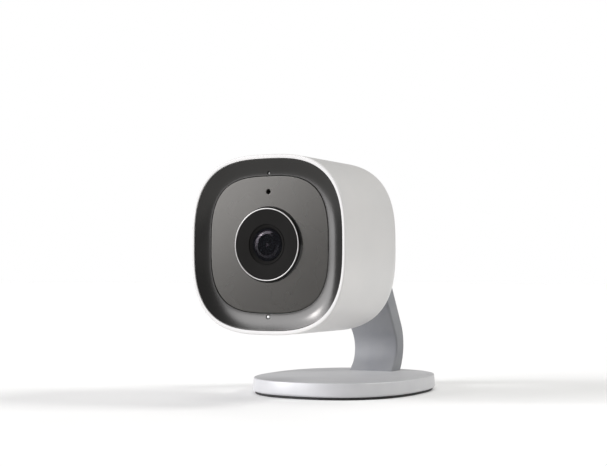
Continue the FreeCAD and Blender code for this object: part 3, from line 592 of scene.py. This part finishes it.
def make_materials():
    """One procedural material for each slot of the record."""
    white = finish(
        "white_plastic", (grey(0.56, 0.010), grey(0.59, 0.018)), (0.30, 0.36), (0.12, 0.0012), 25.0)
    black = finish(
        "black_plastic", (grey(0.006), grey(0.009)), (0.5, 0.6), (0.10, 0.004), Specular_IOR_Level=0.25)
    lacquer = finish("bezel_lacquer", (grey(0.004, 0.03), grey(0.006, 0.03)), (0.17, 0.21), (0.2, 0.0004))
    lacquer.set(IOR=1.47, Specular_Tint=(1.0, 0.98, 0.95, 1))
    plate = finish("smoked_plate", (grey(0.012, 0.06), grey(0.015, 0.06)), (0.18, 0.22), (0.15, 0.0004))
    plate.set(Specular_Tint=(1.0, 0.97, 0.91, 1))
    gloss = finish("black_gloss", (grey(0.003), grey(0.005)), (0.12, 0.16), (0.2, 0.0004))
    trim = finish(
        "bright_trim", (grey(0.30, 0.02), grey(0.36, 0.02)), (0.34, 0.42), (0.05, 0.0006), Metallic=1.0)
    hood = finish("black_metal", (grey(0.012, 0.03), grey(0.014, 0.03)), (0.6, 0.7), (0.08, 0.002))
    hood.set(Specular_IOR_Level=0.02)
    window = finish("window_plastic", (grey(0.80), grey(0.85)), (0.12, 0.16), (0.2, 0.0005))
    shaders = {
        "white_plastic": white,
        "grey_plastic": finish("grey_plastic", (grey(0.33), grey(0.36)), (0.35, 0.42), (0.12, 0.002)),
        "black_plastic": black,
        "bezel_lacquer": lacquer,
        "smoked_plate": plate,
        "black_gloss": gloss,
        "bright_trim": trim,
        "lens_glass": lens_glass(),
        "coated_glass": coated_glass(),
        "filter_glass": finish(
            "filter_glass", ((0.75, 0.35, 0.35), (0.80, 0.42, 0.42)), (0.02, 0.04), (0.5, 0.0002),
            Transmission_Weight=1.0),
        "black_metal": hood,
        "copper_coil": wound_copper(),
        "sensor_glass": finish(
            "sensor_glass", ((0.03, 0.05, 0.07), (0.05, 0.07, 0.10)), (0.05, 0.1), (0.05, 0.0005)),
        "circuit_board": circuit_board(),
        "led_resin": finish(
            "led_resin", (grey(0.55), grey(0.65)), (0.08, 0.14), (0.2, 0.001), Transmission_Weight=0.5),
        "window_plastic": window,
        "rubber": finish("rubber", (grey(0.014), grey(0.022)), (0.65, 0.8), (0.15, 0.01)),
        "chip_plastic": finish("chip_plastic", (grey(0.02), grey(0.03)), (0.45, 0.55), (0.06, 0.003)),
        "thermal_rubber": finish(
            "thermal_rubber", ((0.35, 0.38, 0.42), (0.40, 0.43, 0.47)), (0.6, 0.7), (0.3, 0.01)),
        "aluminium": finish("aluminium", (grey(0.72), grey(0.78)), (0.25, 0.4), (0.1, 0.002), Metallic=1.0),
        "cable_plastic": flat_cable(),
        "arm_paint": arm_paint(),
        "base_pearl": pearl_paint(),
        "steel": brushed_steel(),
    }
    return {slot: shader.material for slot, shader in shaders.items()}


def dress_cad_nodes():
    """Gives every CAD node the material of its slot in the record."""
    for part in frame["record"]["subparts"]:
        node = frame["nodes"][part["node"]]
        node.data.materials.clear()
        node.data.materials.append(MATERIALS[part["material_slot"]])


# ---- head ------------------------------------------------------------------------------------------

def dome_depth(x, z):
    """Depth of the head's outer surface over its domed back."""
    total = abs(x / HEAD_HALF_WIDTH) ** HEAD_POWER + abs(z / HEAD_HALF_HEIGHT) ** HEAD_POWER
    reach = total ** (1 / HEAD_POWER)
    return HEAD_STRAIGHT + DOME_RISE * math.sqrt(max(0.0, 1 - reach * reach))


def head_ring(inset_x, inset_z, depth):
    return level(superellipse(HEAD_HALF_WIDTH - inset_x, HEAD_HALF_HEIGHT - inset_z, HEAD_POWER), depth)


def housing_front():
    """Rings from the bezel's seat along the rim pocket, over the rim and back to the straight side."""
    rings = [head_ring(RIM_WALL_SIDE, RIM_WALL_TOP, BEZEL_SEAT_DEPTH)]
    for back, out in quarter_round(RIM_INNER_ROUND):
        rings.append(head_ring(RIM_WALL_SIDE - out, RIM_WALL_TOP - out, back))
    rings.append(head_ring(RIM_ROUND + SUPPORT, RIM_ROUND + SUPPORT, 0))
    for inset, back in quarter_round(RIM_ROUND, 2 * ROUND_STEPS):
        rings.append(head_ring(inset, inset, back))
    rings.append(head_ring(0, 0, RIM_ROUND + SUPPORT))
    return rings


def housing_dome():
    """Rings over the domed part of the housing, down into the seam of the rear cover and onto its seat."""
    rings = []
    steps = 20
    seam = superellipse(COVER_HALF_WIDTH, COVER_HALF_HEIGHT, HEAD_POWER)
    inset_x = HEAD_HALF_WIDTH - COVER_HALF_WIDTH - SEAM_ROUND - SUPPORT
    inset_z = HEAD_HALF_HEIGHT - COVER_HALF_HEIGHT - SEAM_ROUND - SUPPORT
    last = math.acos(1 - inset_x / HEAD_HALF_WIDTH)
    for step in range(steps):
        share = (1 - math.cos(last * step / steps)) / (1 - math.cos(last))
        outline = superellipse(
            HEAD_HALF_WIDTH - inset_x * share, HEAD_HALF_HEIGHT - inset_z * share, HEAD_POWER)
        rings.append([(x, z, dome_depth(x, z)) for x, z in outline])
    rings += rounded_rim(seam, SEAM_ROUND, dome_depth, 1, 1)
    rings.append(level(seam, COVER_SEAT_DEPTH))
    return rings


def housing_inside():
    """Rings from the rear cover's ledge round the inner wall to the bezel's seat."""
    ledge = superellipse(COVER_HALF_WIDTH - COVER_LEDGE, COVER_HALF_HEIGHT - COVER_LEDGE, HEAD_POWER)
    rings = [level(ledge, COVER_SEAT_DEPTH), level(ledge, INNER_END_DEPTH)]
    steps = 6
    rise = DOME_RISE - WALL
    highest = math.asin((INNER_END_DEPTH - HEAD_STRAIGHT) / rise)
    for step in range(steps + 1):
        turn = highest * (1 - step / steps)
        half_width = (HEAD_HALF_WIDTH - WALL) * math.cos(turn)
        half_height = (HEAD_HALF_HEIGHT - WALL) * math.cos(turn)
        outline = superellipse(half_width, half_height, HEAD_POWER)
        rings.append(level(outline, HEAD_STRAIGHT + rise * math.sin(turn)))
    rings.append(head_ring(WALL, WALL, BEZEL_SEAT_DEPTH))
    return rings


def housing():
    solid = Solid()
    solid.strips(housing_front() + housing_dome() + housing_inside(), closed=True)
    return solid.make("housing", "white_plastic", "head", "housing_shell")


def swivel_recess():
    """Outline of the recess that the knuckle turns in, wider round its upper half for the stop lug."""
    points = []
    narrow, wide = FLANGE_RADIUS + 0.3, 10.6
    half_turn = math.radians(98.4)
    blend = math.radians(3)
    count = 2 * CIRCLE_POINTS
    for i in range(count):
        turn = 2 * math.pi * i / count
        from_top = abs(math.remainder(turn - math.pi / 2, 2 * math.pi))
        radius = ease(narrow, wide, (half_turn + blend - from_top) / (2 * blend))
        points.append((radius * math.cos(turn), radius * math.sin(turn)))
    return points


def cover_holes():
    """The swivel's recess, four screw holes, the power inlet, the button's dish and the speaker grille."""
    stem_bore = circle(0, 0, STEM_RADIUS + 0.05)
    holes = [Hole(swivel_recess(), MOUTH_ROUND, RECESS_DEPTH, (stem_bore,))]
    for x in (-SCREW_X, SCREW_X):
        for z in (-SCREW_Z, SCREW_Z):
            bore = circle(x, z, SCREW_BORE_RADIUS, 24)
            holes.append(Hole(circle(x, z, SCREW_HEAD_RADIUS, 48), 0.1, SCREW_HEAD_FLOOR, (bore,)))
    inlet = rounded_box(-PORT_X, PORT_Z, INLET_HALF_WIDTH, INLET_HALF_HEIGHT, INLET_ROUND)
    socket = rounded_box(-PORT_X, PORT_Z, SOCKET_HALF_WIDTH, SOCKET_HALF_HEIGHT, SOCKET_HALF_HEIGHT)
    holes.append(Hole(inlet, MOUTH_ROUND, INLET_FLOOR, (socket,)))
    dish = circle(PORT_X, PORT_Z, BUTTON_DISH_RADIUS, 64)
    bore = circle(PORT_X, PORT_Z, BUTTON_BORE_RADIUS, 48)
    holes.append(Hole(dish, MOUTH_ROUND, BUTTON_DISH_FLOOR, (bore,)))
    for row in range(-1, 2):
        for column in range(-3, 4):
            if abs(column) < 3 or row == 0:
                middle = (column * SPEAKER_PITCH, SPEAKER_Z + row * SPEAKER_PITCH)
                holes.append(Hole(circle(*middle, SPEAKER_HOLE_RADIUS, 24), 0.15))
    return holes


def grid(half_width, half_height, power, pitch, keep_off):
    """Points of a square grid inside a superellipse and away from the given outlines."""
    columns = np.arange(-half_width, half_width, pitch)
    rows = np.arange(-half_height, half_height, pitch)
    points = np.array([(x, z) for x in columns for z in rows])
    reach = np.abs(points[:, 0] / half_width) ** power + np.abs(points[:, 1] / half_height) ** power
    points = points[reach < 1]
    for outline in keep_off:
        corners = np.array(outline)
        gaps = np.linalg.norm(points[:, None] - corners[None], axis=2).min(axis=1)
        points = points[(gaps > 0.6 * pitch) & ~inside(points, outline)]
    return [tuple(p) for p in points]


def rear_cover():
    half_width, half_height = COVER_HALF_WIDTH - COVER_GAP, COVER_HALF_HEIGHT - COVER_GAP
    border = superellipse(half_width, half_height, HEAD_POWER)
    holes = cover_holes()
    mouths = [offset(hole.outline, hole.edge + SUPPORT) for hole in holes]
    pitch = 0.8
    fill = grid(half_width - pitch, half_height - pitch, HEAD_POWER, pitch, mouths)
    plug = superellipse(half_width - COVER_LEDGE - 0.1, half_height - COVER_LEDGE - 0.1, HEAD_POWER)
    foot = [(border, COVER_SEAT_DEPTH), (plug, COVER_SEAT_DEPTH), (plug, COVER_BACK_DEPTH)]
    solid = panel(border, SEAM_ROUND, dome_depth, 1, COVER_BACK_DEPTH, holes, fill, foot)
    return solid.make("rear_shell", "white_plastic", "head", "rear_cover")


# ---- front -----------------------------------------------------------------------------------------

BEZEL_HALF_WIDTH = HEAD_HALF_WIDTH - RIM_WALL_SIDE - BEZEL_GAP
BEZEL_HALF_HEIGHT = HEAD_HALF_HEIGHT - RIM_WALL_TOP - BEZEL_GAP
POCKET_HALF_WIDTH = PLATE_HALF_WIDTH + PLATE_GAP
POCKET_HALF_HEIGHT = PLATE_HALF_HEIGHT + PLATE_GAP


def dish_outline(share):
    """Outline across the bezel's dish: share is 0 at its outer edge and 1 at the plate's pocket."""
    half_width = BEZEL_HALF_WIDTH + (POCKET_HALF_WIDTH - BEZEL_HALF_WIDTH) * share
    half_height = BEZEL_HALF_HEIGHT + (POCKET_HALF_HEIGHT - BEZEL_HALF_HEIGHT) * share
    return half_width, half_height, HEAD_POWER + (PLATE_POWER - HEAD_POWER) * share


def dish_depth(x, z):
    """Depth of the bezel's face: a cove that is steep at the rim and level at the plate."""
    low, high = -0.5, 1.5
    for _ in range(24):
        share = (low + high) / 2
        half_width, half_height, power = dish_outline(share)
        outside = abs(x / half_width) ** power + abs(z / half_height) ** power > 1
        low, high = (low, share) if outside else (share, high)
    share = min(1.0, max(0.0, share))
    return BEZEL_FRONT_DEPTH + (PLATE_DEPTH - BEZEL_FRONT_DEPTH) * math.sin(math.pi / 2 * share)


def bezel():
    border = superellipse(*dish_outline(0))
    pocket = superellipse(*dish_outline(1))
    holes = [
        Hole(pocket, 0.08),
        Hole(circle(0, SENSOR_Z, SENSOR_HOLE_RADIUS, 32), 0.05),
        Hole(circle(0, STATUS_Z, STATUS_HOLE_RADIUS, 40), 0.05),
    ]
    fill = []
    rows = 16
    for row in range(1, rows):
        outline = superellipse(*dish_outline(row / rows))
        for centre, clear in ((SENSOR_Z, 1.0), (STATUS_Z, 1.4)):
            outline = [(x, z) for x, z in outline if math.hypot(x, z - centre) > clear]
        fill += outline
    solid = panel(border, 0.12, dish_depth, -1, BEZEL_SEAT_DEPTH, holes, fill)
    return solid.make("bezel", "bezel_lacquer", "head", "front_bezel")


def plate():
    border = superellipse(PLATE_HALF_WIDTH, PLATE_HALF_HEIGHT, PLATE_POWER)
    holes = [Hole(circle(0, 0, RING_SPIGOT_RADIUS + 0.05), 0.1), Hole(circle(0, MIC_Z, MIC_RADIUS, 40), 0.14)]
    solid = panel(border, 0.16, lambda x, z: PLATE_DEPTH, -1, PLATE_BACK, holes)
    return solid.make("face_plate", "smoked_plate", "head", "front_plate")


def window(name, node, z, radius, front, back):
    """Small window with a domed face, between its front and back depths."""
    crown = 0.45 * radius
    profile = [(0, front)]
    steps = 6
    for i in range(1, steps + 1):
        turn = math.pi / 2 * i / steps
        profile.append((radius * math.sin(turn), front + crown * (1 - math.cos(turn))))
    profile += [(radius, back), (0, back)]
    return lathe(profile, 32, 0, z).make(name, "window_plastic", "head", node)


def lens_surround():
    """Glossy ring round the lens, slightly hollow in its side, with its bright trim ring in front."""
    trim_back = RING_FRONT_DEPTH + TRIM_WIDTH
    flank = []
    steps = 6
    for i in range(steps + 1):
        share = i / steps
        radius = RING_BASE_RADIUS + (RING_FRONT_RADIUS - RING_BASE_RADIUS) * share
        hollow = 0.08 * math.sin(math.pi * share)
        flank.append((radius - hollow, PLATE_DEPTH + (trim_back - PLATE_DEPTH) * share))
    profile = [(RING_SPIGOT_RADIUS, RING_BACK_DEPTH), (RING_SPIGOT_RADIUS, PLATE_DEPTH), *flank]
    profile += [(RING_BORE_RADIUS, trim_back), (RING_BORE_RADIUS, RING_BACK_DEPTH)]
    lathe(profile, 192).make("lens_surround", "black_gloss", "head", "lens_ring")
    round_radius = 0.13
    outer, inner = RING_FRONT_RADIUS, RING_FRONT_RADIUS - TRIM_WIDTH
    front = RING_FRONT_DEPTH + round_radius
    section = arc(outer - round_radius, front, round_radius, 0, -90)
    section += arc(inner + round_radius, front, round_radius, -90, -180)
    section += [(inner, trim_back), (outer, trim_back)]
    lathe(section, 192).make("trim_ring", "bright_trim", "head", "lens_trim_ring")


def hood():
    """Matt black face, a fine groove round its mouth, and a smooth cone down to the glass."""
    face_radius = RING_FRONT_RADIUS - TRIM_WIDTH - 0.05
    back = RING_FRONT_DEPTH + TRIM_WIDTH
    mouth_round = 0.1
    groove_inner, groove_floor = HOOD_MOUTH_RADIUS - 0.3, HOOD_DEPTH + 0.45
    profile = [(face_radius, back), (face_radius, HOOD_DEPTH)]
    profile += arc(HOOD_MOUTH_RADIUS + mouth_round, HOOD_DEPTH + mouth_round, mouth_round, -90, -180)
    profile += [(HOOD_MOUTH_RADIUS, groove_floor), (groove_inner, groove_floor)]
    profile += [(groove_inner, HOOD_DEPTH + 0.15)]
    bottom_radius = LENS_RADIUS + 0.05
    profile += [(bottom_radius + 0.12, LENS_EDGE_DEPTH - 0.85), (bottom_radius, LENS_EDGE_DEPTH - 0.65)]
    profile += [(bottom_radius, HOOD_BACK_DEPTH), (HOOD_OUTER_RADIUS, HOOD_BACK_DEPTH)]
    profile += [(HOOD_OUTER_RADIUS, back)]
    return lathe(profile, 192).make("lens_face", "black_metal", "head", "lens_hood")


def glass():
    """Front lens: a small hollow pupil in a flat middle, and one soft step down to a flat rim."""
    apex = LENS_EDGE_DEPTH - LENS_SAG + 0.2
    step_start, step_end, step_drop = 3.7, 4.6, 0.162
    pupil, pupil_depth, pupil_steps = 0.42, 0.08, 8
    profile = [(0, apex + pupil_depth)]
    for i in range(1, pupil_steps + 1):
        share = i / pupil_steps
        profile.append((pupil * share, apex + pupil_depth * (1 - share ** 2)))
    steps = 40
    for i in range(1, steps + 1):
        radius = pupil + (LENS_RADIUS - pupil) * i / steps
        drop = ease(0, step_drop, (radius - step_start) / (step_end - step_start))
        profile.append((radius, apex + drop))
    profile += [(LENS_RADIUS, LENS_BACK_DEPTH), (0, LENS_BACK_DEPTH)]
    return lathe(profile, 128).make("lens_dome", "lens_glass", "head", "front_lens")


# ---- back ------------------------------------------------------------------------------------------

def button():
    """Setup button: a post with a rounded, slightly dished top and a hidden flange."""
    radius, top, edge = 2.35, 53.2, 0.35
    profile = [(0, 45.0), (1.5, 45.0), (1.5, 47.0), (3.2, 47.0), (3.2, 48.2), (radius, 48.2)]
    profile += arc(radius - edge, top - edge, edge, 0, 90)
    profile += [(1.2, top - 0.12), (0, top - 0.15)]
    return lathe(profile, 64, PORT_X, PORT_Z).make("setup_key", "grey_plastic", "button", "setup_button")


# ---- knuckle and stand -----------------------------------------------------------------------------

def hinge_circle(radius, count=CIRCLE_POINTS):
    """Circle round the tilt hinge in side view, as (y, z)."""
    return circle(HINGE_Y, AXIS_Z, radius, count)


def side_prism(outline, half_width, edge, name, slot, body, *nodes):
    """Solid with a side view in (y, z) and rounded edges; half_width is a function of z."""
    solid = Solid(in_stand)
    rings = []
    for side in (-1, 1):
        half = [[(side * half_width(z), y, z) for y, z in offset(outline, -edge - SUPPORT)]]
        for inset, drop in quarter_round(edge):
            half.append([(side * (half_width(z) - drop), y, z) for y, z in offset(outline, -inset)])
        rings += half if side < 0 else half[::-1]
    solid.loft(rings)
    return solid.make(name, slot, body, *nodes)


def knuckle():
    """Tongue on the hinge pin, neck, flange with its stop lug, and the stem that the head turns on."""
    flange_back = FLANGE_FRONT_DEPTH + FLANGE_THICKNESS
    edge = 0.3
    profile = [(0, STEM_FRONT_DEPTH), (STEM_RADIUS, STEM_FRONT_DEPTH)]
    profile += [(STEM_RADIUS, FLANGE_FRONT_DEPTH), (FLANGE_RADIUS, FLANGE_FRONT_DEPTH)]
    profile += arc(FLANGE_RADIUS - edge, flange_back - edge, edge, 0, 90)
    profile += [(0, flange_back)]
    piece = lathe(profile, 128).make("knuckle", "arm_paint", "knuckle", "tilt_knuckle")
    lug = Solid()
    lug_outline = rounded_box(0, 8.6, 1.2, 1.7, 0.3)
    lug.loft([level(lug_outline, depth) for depth in (FLANGE_FRONT_DEPTH, flange_back - 0.1)])
    combine(piece, lug.make("lug", "arm_paint", "knuckle"), "UNION")
    neck = Solid()
    hinge_depth = HINGE_Y - RIM_Y
    steps = 8
    neck_rings = []
    for i in range(steps + 1):
        share = i / steps
        flare = 1.6 * (1 - share) ** 3
        outline = rounded_box(0, 0, TONGUE_HALF_WIDTH - 0.05 + flare, 3.4 + flare, 0.8)
        neck_rings.append(level(outline, flange_back - 0.4 + (hinge_depth - flange_back + 0.4) * share))
    neck.loft(neck_rings)
    combine(piece, neck.make("neck", "arm_paint", "knuckle"), "UNION")
    tongue = side_prism(
        hinge_circle(TONGUE_RADIUS), lambda z: TONGUE_HALF_WIDTH, edge, "tongue", "arm_paint", "knuckle")
    combine(piece, tongue, "UNION")


def arm_outline():
    """Side view of the arm as (y, z): hinge barrel, straight length, bend, and the foot inside the base."""
    along = (math.sin(ARM_LEAN), -math.cos(ARM_LEAN))
    across = (math.cos(ARM_LEAN), math.sin(ARM_LEAN))
    half = ARM_THICKNESS / 2

    def beside(distance, reach):
        """Point at a distance down the arm's straight centre line and a reach behind it."""
        y = HINGE_Y + along[0] * distance + across[0] * reach
        z = AXIS_Z + along[1] * distance + across[1] * reach
        return (y, z)

    centre = beside(ARM_STRAIGHT, -ARM_BEND_RADIUS)
    foot_z = BASE_TOP - ARM_SINK

    def on_bend(radius, turn):
        return (centre[0] + radius * math.cos(turn), centre[1] + radius * math.sin(turn))

    back_end = math.asin((foot_z - centre[1]) / (ARM_BEND_RADIUS + half))
    steps = 24
    back = [
        on_bend(ARM_BEND_RADIUS + half, ARM_LEAN + (back_end - ARM_LEAN) * i / steps)
        for i in range(steps + 1)
    ]
    front = [
        on_bend(ARM_BEND_RADIUS - half, -ARM_FOOT_TURN + (ARM_LEAN + ARM_FOOT_TURN) * i / steps)
        for i in range(steps + 1)
    ]
    drop = front[0][1] - foot_z
    front_foot = (front[0][0] - drop * math.tan(ARM_FOOT_TURN), foot_z)
    neck = math.sqrt(HINGE_BARREL_RADIUS ** 2 - half ** 2)
    barrel = []
    opening = math.asin(half / HINGE_BARREL_RADIUS)
    for i in range(2 * steps + 1):
        turn = opening + (2 * math.pi - 2 * opening) * i / (2 * steps)
        distance, reach = HINGE_BARREL_RADIUS * math.cos(turn), -HINGE_BARREL_RADIUS * math.sin(turn)
        barrel.append(beside(distance, reach))
    straight_steps = 6
    front_line = [beside(ARM_STRAIGHT + (neck + 0.8 - ARM_STRAIGHT) * i / straight_steps, -half)
                  for i in range(1, straight_steps + 1)]
    back_line = [beside(neck + 0.8 + (ARM_STRAIGHT - neck - 0.8) * i / straight_steps, half)
                 for i in range(straight_steps)]
    points = [front_foot] + front + front_line + barrel + back_line + back
    return points[::-1]


def arm_half_width(z):
    slope = (ARM_TOP_WIDTH - ARM_FOOT_WIDTH) / 2 / (AXIS_Z - BASE_TOP)
    return ARM_FOOT_WIDTH / 2 + slope * (z - BASE_TOP)


def arm():
    """Arm with its foot, the slot for the knuckle's tongue and a recess for each cap."""
    piece = side_prism(
        arm_outline(), arm_half_width, ARM_EDGE_ROUND, "arm", "arm_paint", "stand", "stand_arm")
    slot = prism_cutter(hinge_circle(CLEVIS_RADIUS), -CLEVIS_HALF_GAP, CLEVIS_HALF_GAP)
    combine(piece, slot, "DIFFERENCE")
    beyond = 15.0
    for side in (-1, 1):
        ends = sorted((side * CAP_FLOOR_X, side * beyond))
        combine(piece, prism_cutter(hinge_circle(CAP_RADIUS + 0.12), *ends), "DIFFERENCE")
    bevel = piece.modifiers.new("edges", "BEVEL")
    bevel.width = 0.25 * MM
    bevel.segments = 3
    bevel.limit_method = "ANGLE"
    bevel.angle_limit = math.radians(50)


def prism_cutter(outline, start, end):
    """Plain prism along X that is used to cut a piece."""
    solid = Solid(in_stand)
    solid.loft([[(x, y, z) for y, z in outline] for x in (start, end)])
    return solid.make("cutter", "arm_paint", "stand")


def caps():
    """Plugs over the pin's ends, with a slightly crowned face."""
    outer = box_mm("hinge_caps")[1].x
    steps = (
        (CAP_RADIUS, CAP_FLOOR_X + 0.05), (CAP_RADIUS, outer - 0.45), (CAP_RADIUS - 0.08, outer - 0.3),
        (CAP_RADIUS - 0.25, outer - 0.18), (CAP_RADIUS - 0.6, outer - 0.1), (1.2, outer),
    )
    solid = Solid(in_stand)
    for side in (-1, 1):
        solid.loft([[(side * x, y, z) for y, z in hinge_circle(radius, 64)] for radius, x in steps])
    return solid.make("pin_plugs", "arm_paint", "stand", "hinge_caps")


def base_ring(inset, z):
    outline = superellipse(BASE_HIGH.x - inset, BASE_HIGH.y - inset, BASE_POWER)
    return [(x, y, z) for x, y in outline]


def base():
    """Foot plate: sides that lean in, a rounded lower edge and a crisp upper one."""
    solid = Solid(in_stand)
    lean = math.atan2(BASE_DRAFT, BASE_TOP - BASE_BOTTOM)
    rings = [base_ring(6.0, BASE_BOTTOM), base_ring(BASE_BOTTOM_ROUND + SUPPORT, BASE_BOTTOM)]
    steps = 6
    for step in range(steps + 1):
        turn = (math.pi / 2 - lean) * step / steps
        inset = BASE_BOTTOM_ROUND * (1 - math.sin(turn))
        z = BASE_BOTTOM + BASE_BOTTOM_ROUND * (1 - math.cos(turn))
        rings.append(base_ring(inset, z))
    for step in range(steps + 1):
        share = step / steps
        angle = lean + (math.pi / 2 - lean) * share
        inset = BASE_DRAFT + BASE_TOP_ROUND * (1 - math.cos(angle)) - BASE_TOP_ROUND * (1 - math.cos(lean))
        rings.append(base_ring(inset, BASE_TOP - BASE_TOP_ROUND * (1 - math.sin(angle))))
    rings.append(base_ring(BASE_DRAFT + BASE_TOP_ROUND + 0.3, BASE_TOP))
    solid.loft(rings)
    return solid.make("foot_plate", "base_pearl", "stand", "base_cover")


def pad():
    """Rubber pad under the foot plate."""
    high = box_mm("base_pad")[1]
    solid = Solid(in_stand)
    rings = []
    for inset, z in ((1.0, 0), (0.35, 0), (0.1, 0.1), (0, 0.3), (0, high.z)):
        outline = superellipse(high.x - inset, high.y - inset, BASE_POWER)
        rings.append([(x, y, z) for x, y in outline])
    solid.loft(rings)
    return solid.make("rubber_pad", "rubber", "stand", "base_pad")


# ---- stage -----------------------------------------------------------------------------------------

def direction(azimuth, elevation):
    """Unit vector towards a place round the object: azimuth 0 is in front of it and 90 on its +X side."""
    a, e = math.radians(azimuth), math.radians(elevation)
    return Vector((math.sin(a) * math.cos(e), -math.cos(a) * math.cos(e), math.sin(e)))


def sky_light(name, azimuth, elevation, spread, strength, colour):
    """Soft round light far away in a direction, even over the floor; spread is its angle in degrees."""
    light = bpy.data.lights.new(name, "SUN")
    light.energy = strength
    light.angle = math.radians(spread)
    light.color = colour
    lamp = add_object(name, light)
    towards = direction(azimuth, elevation)
    lamp.location = towards
    lamp.rotation_mode = "QUATERNION"
    lamp.rotation_quaternion = towards.to_track_quat("Z", "Y")


def world():
    """Even studio surround: white behind the object, and dimmer where it lights it."""
    surround = bpy.data.worlds.new("studio")
    surround.use_nodes = True
    tree = surround.node_tree
    background = tree.nodes["Background"]
    background.inputs["Color"].default_value = (1.0, 1.0, 1.0, 1)
    seen = tree.nodes.new("ShaderNodeLightPath").outputs["Is Camera Ray"]
    strength = tree.nodes.new("ShaderNodeMapRange")
    strength.inputs["To Min"].default_value = SURROUND_LIGHTING
    strength.inputs["To Max"].default_value = 1.0
    tree.links.new(seen, strength.inputs["Value"])
    tree.links.new(strength.outputs["Result"], background.inputs["Strength"])
    bpy.context.scene.world = surround


def floor():
    """Pale floor that runs far out on every side."""
    corners = [(x * FLOOR_HALF, y * FLOOR_HALF, 0) for x, y in ((-1, -1), (1, -1), (1, 1), (-1, 1))]
    mesh = bpy.data.meshes.new("floor")
    mesh.from_pydata(corners, [], [(0, 1, 2, 3)])
    plane = add_object("floor", mesh)
    pale = finish("floor", (grey(0.86), grey(0.88)), (0.8, 0.9), (2.0, 0.02), 60.0, Specular_IOR_Level=0.1)
    mesh.materials.append(pale.material)


def camera():
    back = direction(CAMERA_AZIMUTH, CAMERA_ELEVATION)
    data = bpy.data.cameras.new("camera")
    data.lens = CAMERA_LENS
    data.sensor_width = SENSOR_WIDTH
    data.clip_start = 0.01
    data.clip_end = 50
    eye = add_object("camera", data)
    eye.location = (CAMERA_AIM + back * CAMERA_DISTANCE) * MM
    eye.rotation_mode = "QUATERNION"
    eye.rotation_quaternion = (-back).to_track_quat("-Z", "Y")
    bpy.context.scene.camera = eye


def lights():
    sky_light("key", -42.5, 17, 38, 2.8, (0.97, 0.97, 1.0))
    sky_light("side", 114, 38, 18, 1.35, (1.0, 1.0, 0.98))
    sky_light("overhead", 0, 90, 60, 0.85, (1.0, 0.985, 0.95))
    sky_light("glint", -49, 20.5, 7.5, 0.5, (1.0, 0.97, 0.98))


# ---- the scene -------------------------------------------------------------------------------------

MATERIALS = make_materials()
dress_cad_nodes()
housing()
rear_cover()
bezel()
plate()
window("sensor_window", "light_sensor_window", SENSOR_Z, SENSOR_WINDOW_RADIUS, 2.35, 4.8)
window("status_window", "status_light_window", STATUS_Z, STATUS_WINDOW_RADIUS, 1.6, 4.9)
lens_surround()
hood()
glass()
button()
knuckle()
arm()
caps()
base()
pad()
camera()
world()
lights()
floor()
bpy.context.scene.view_settings.view_transform = "Standard"
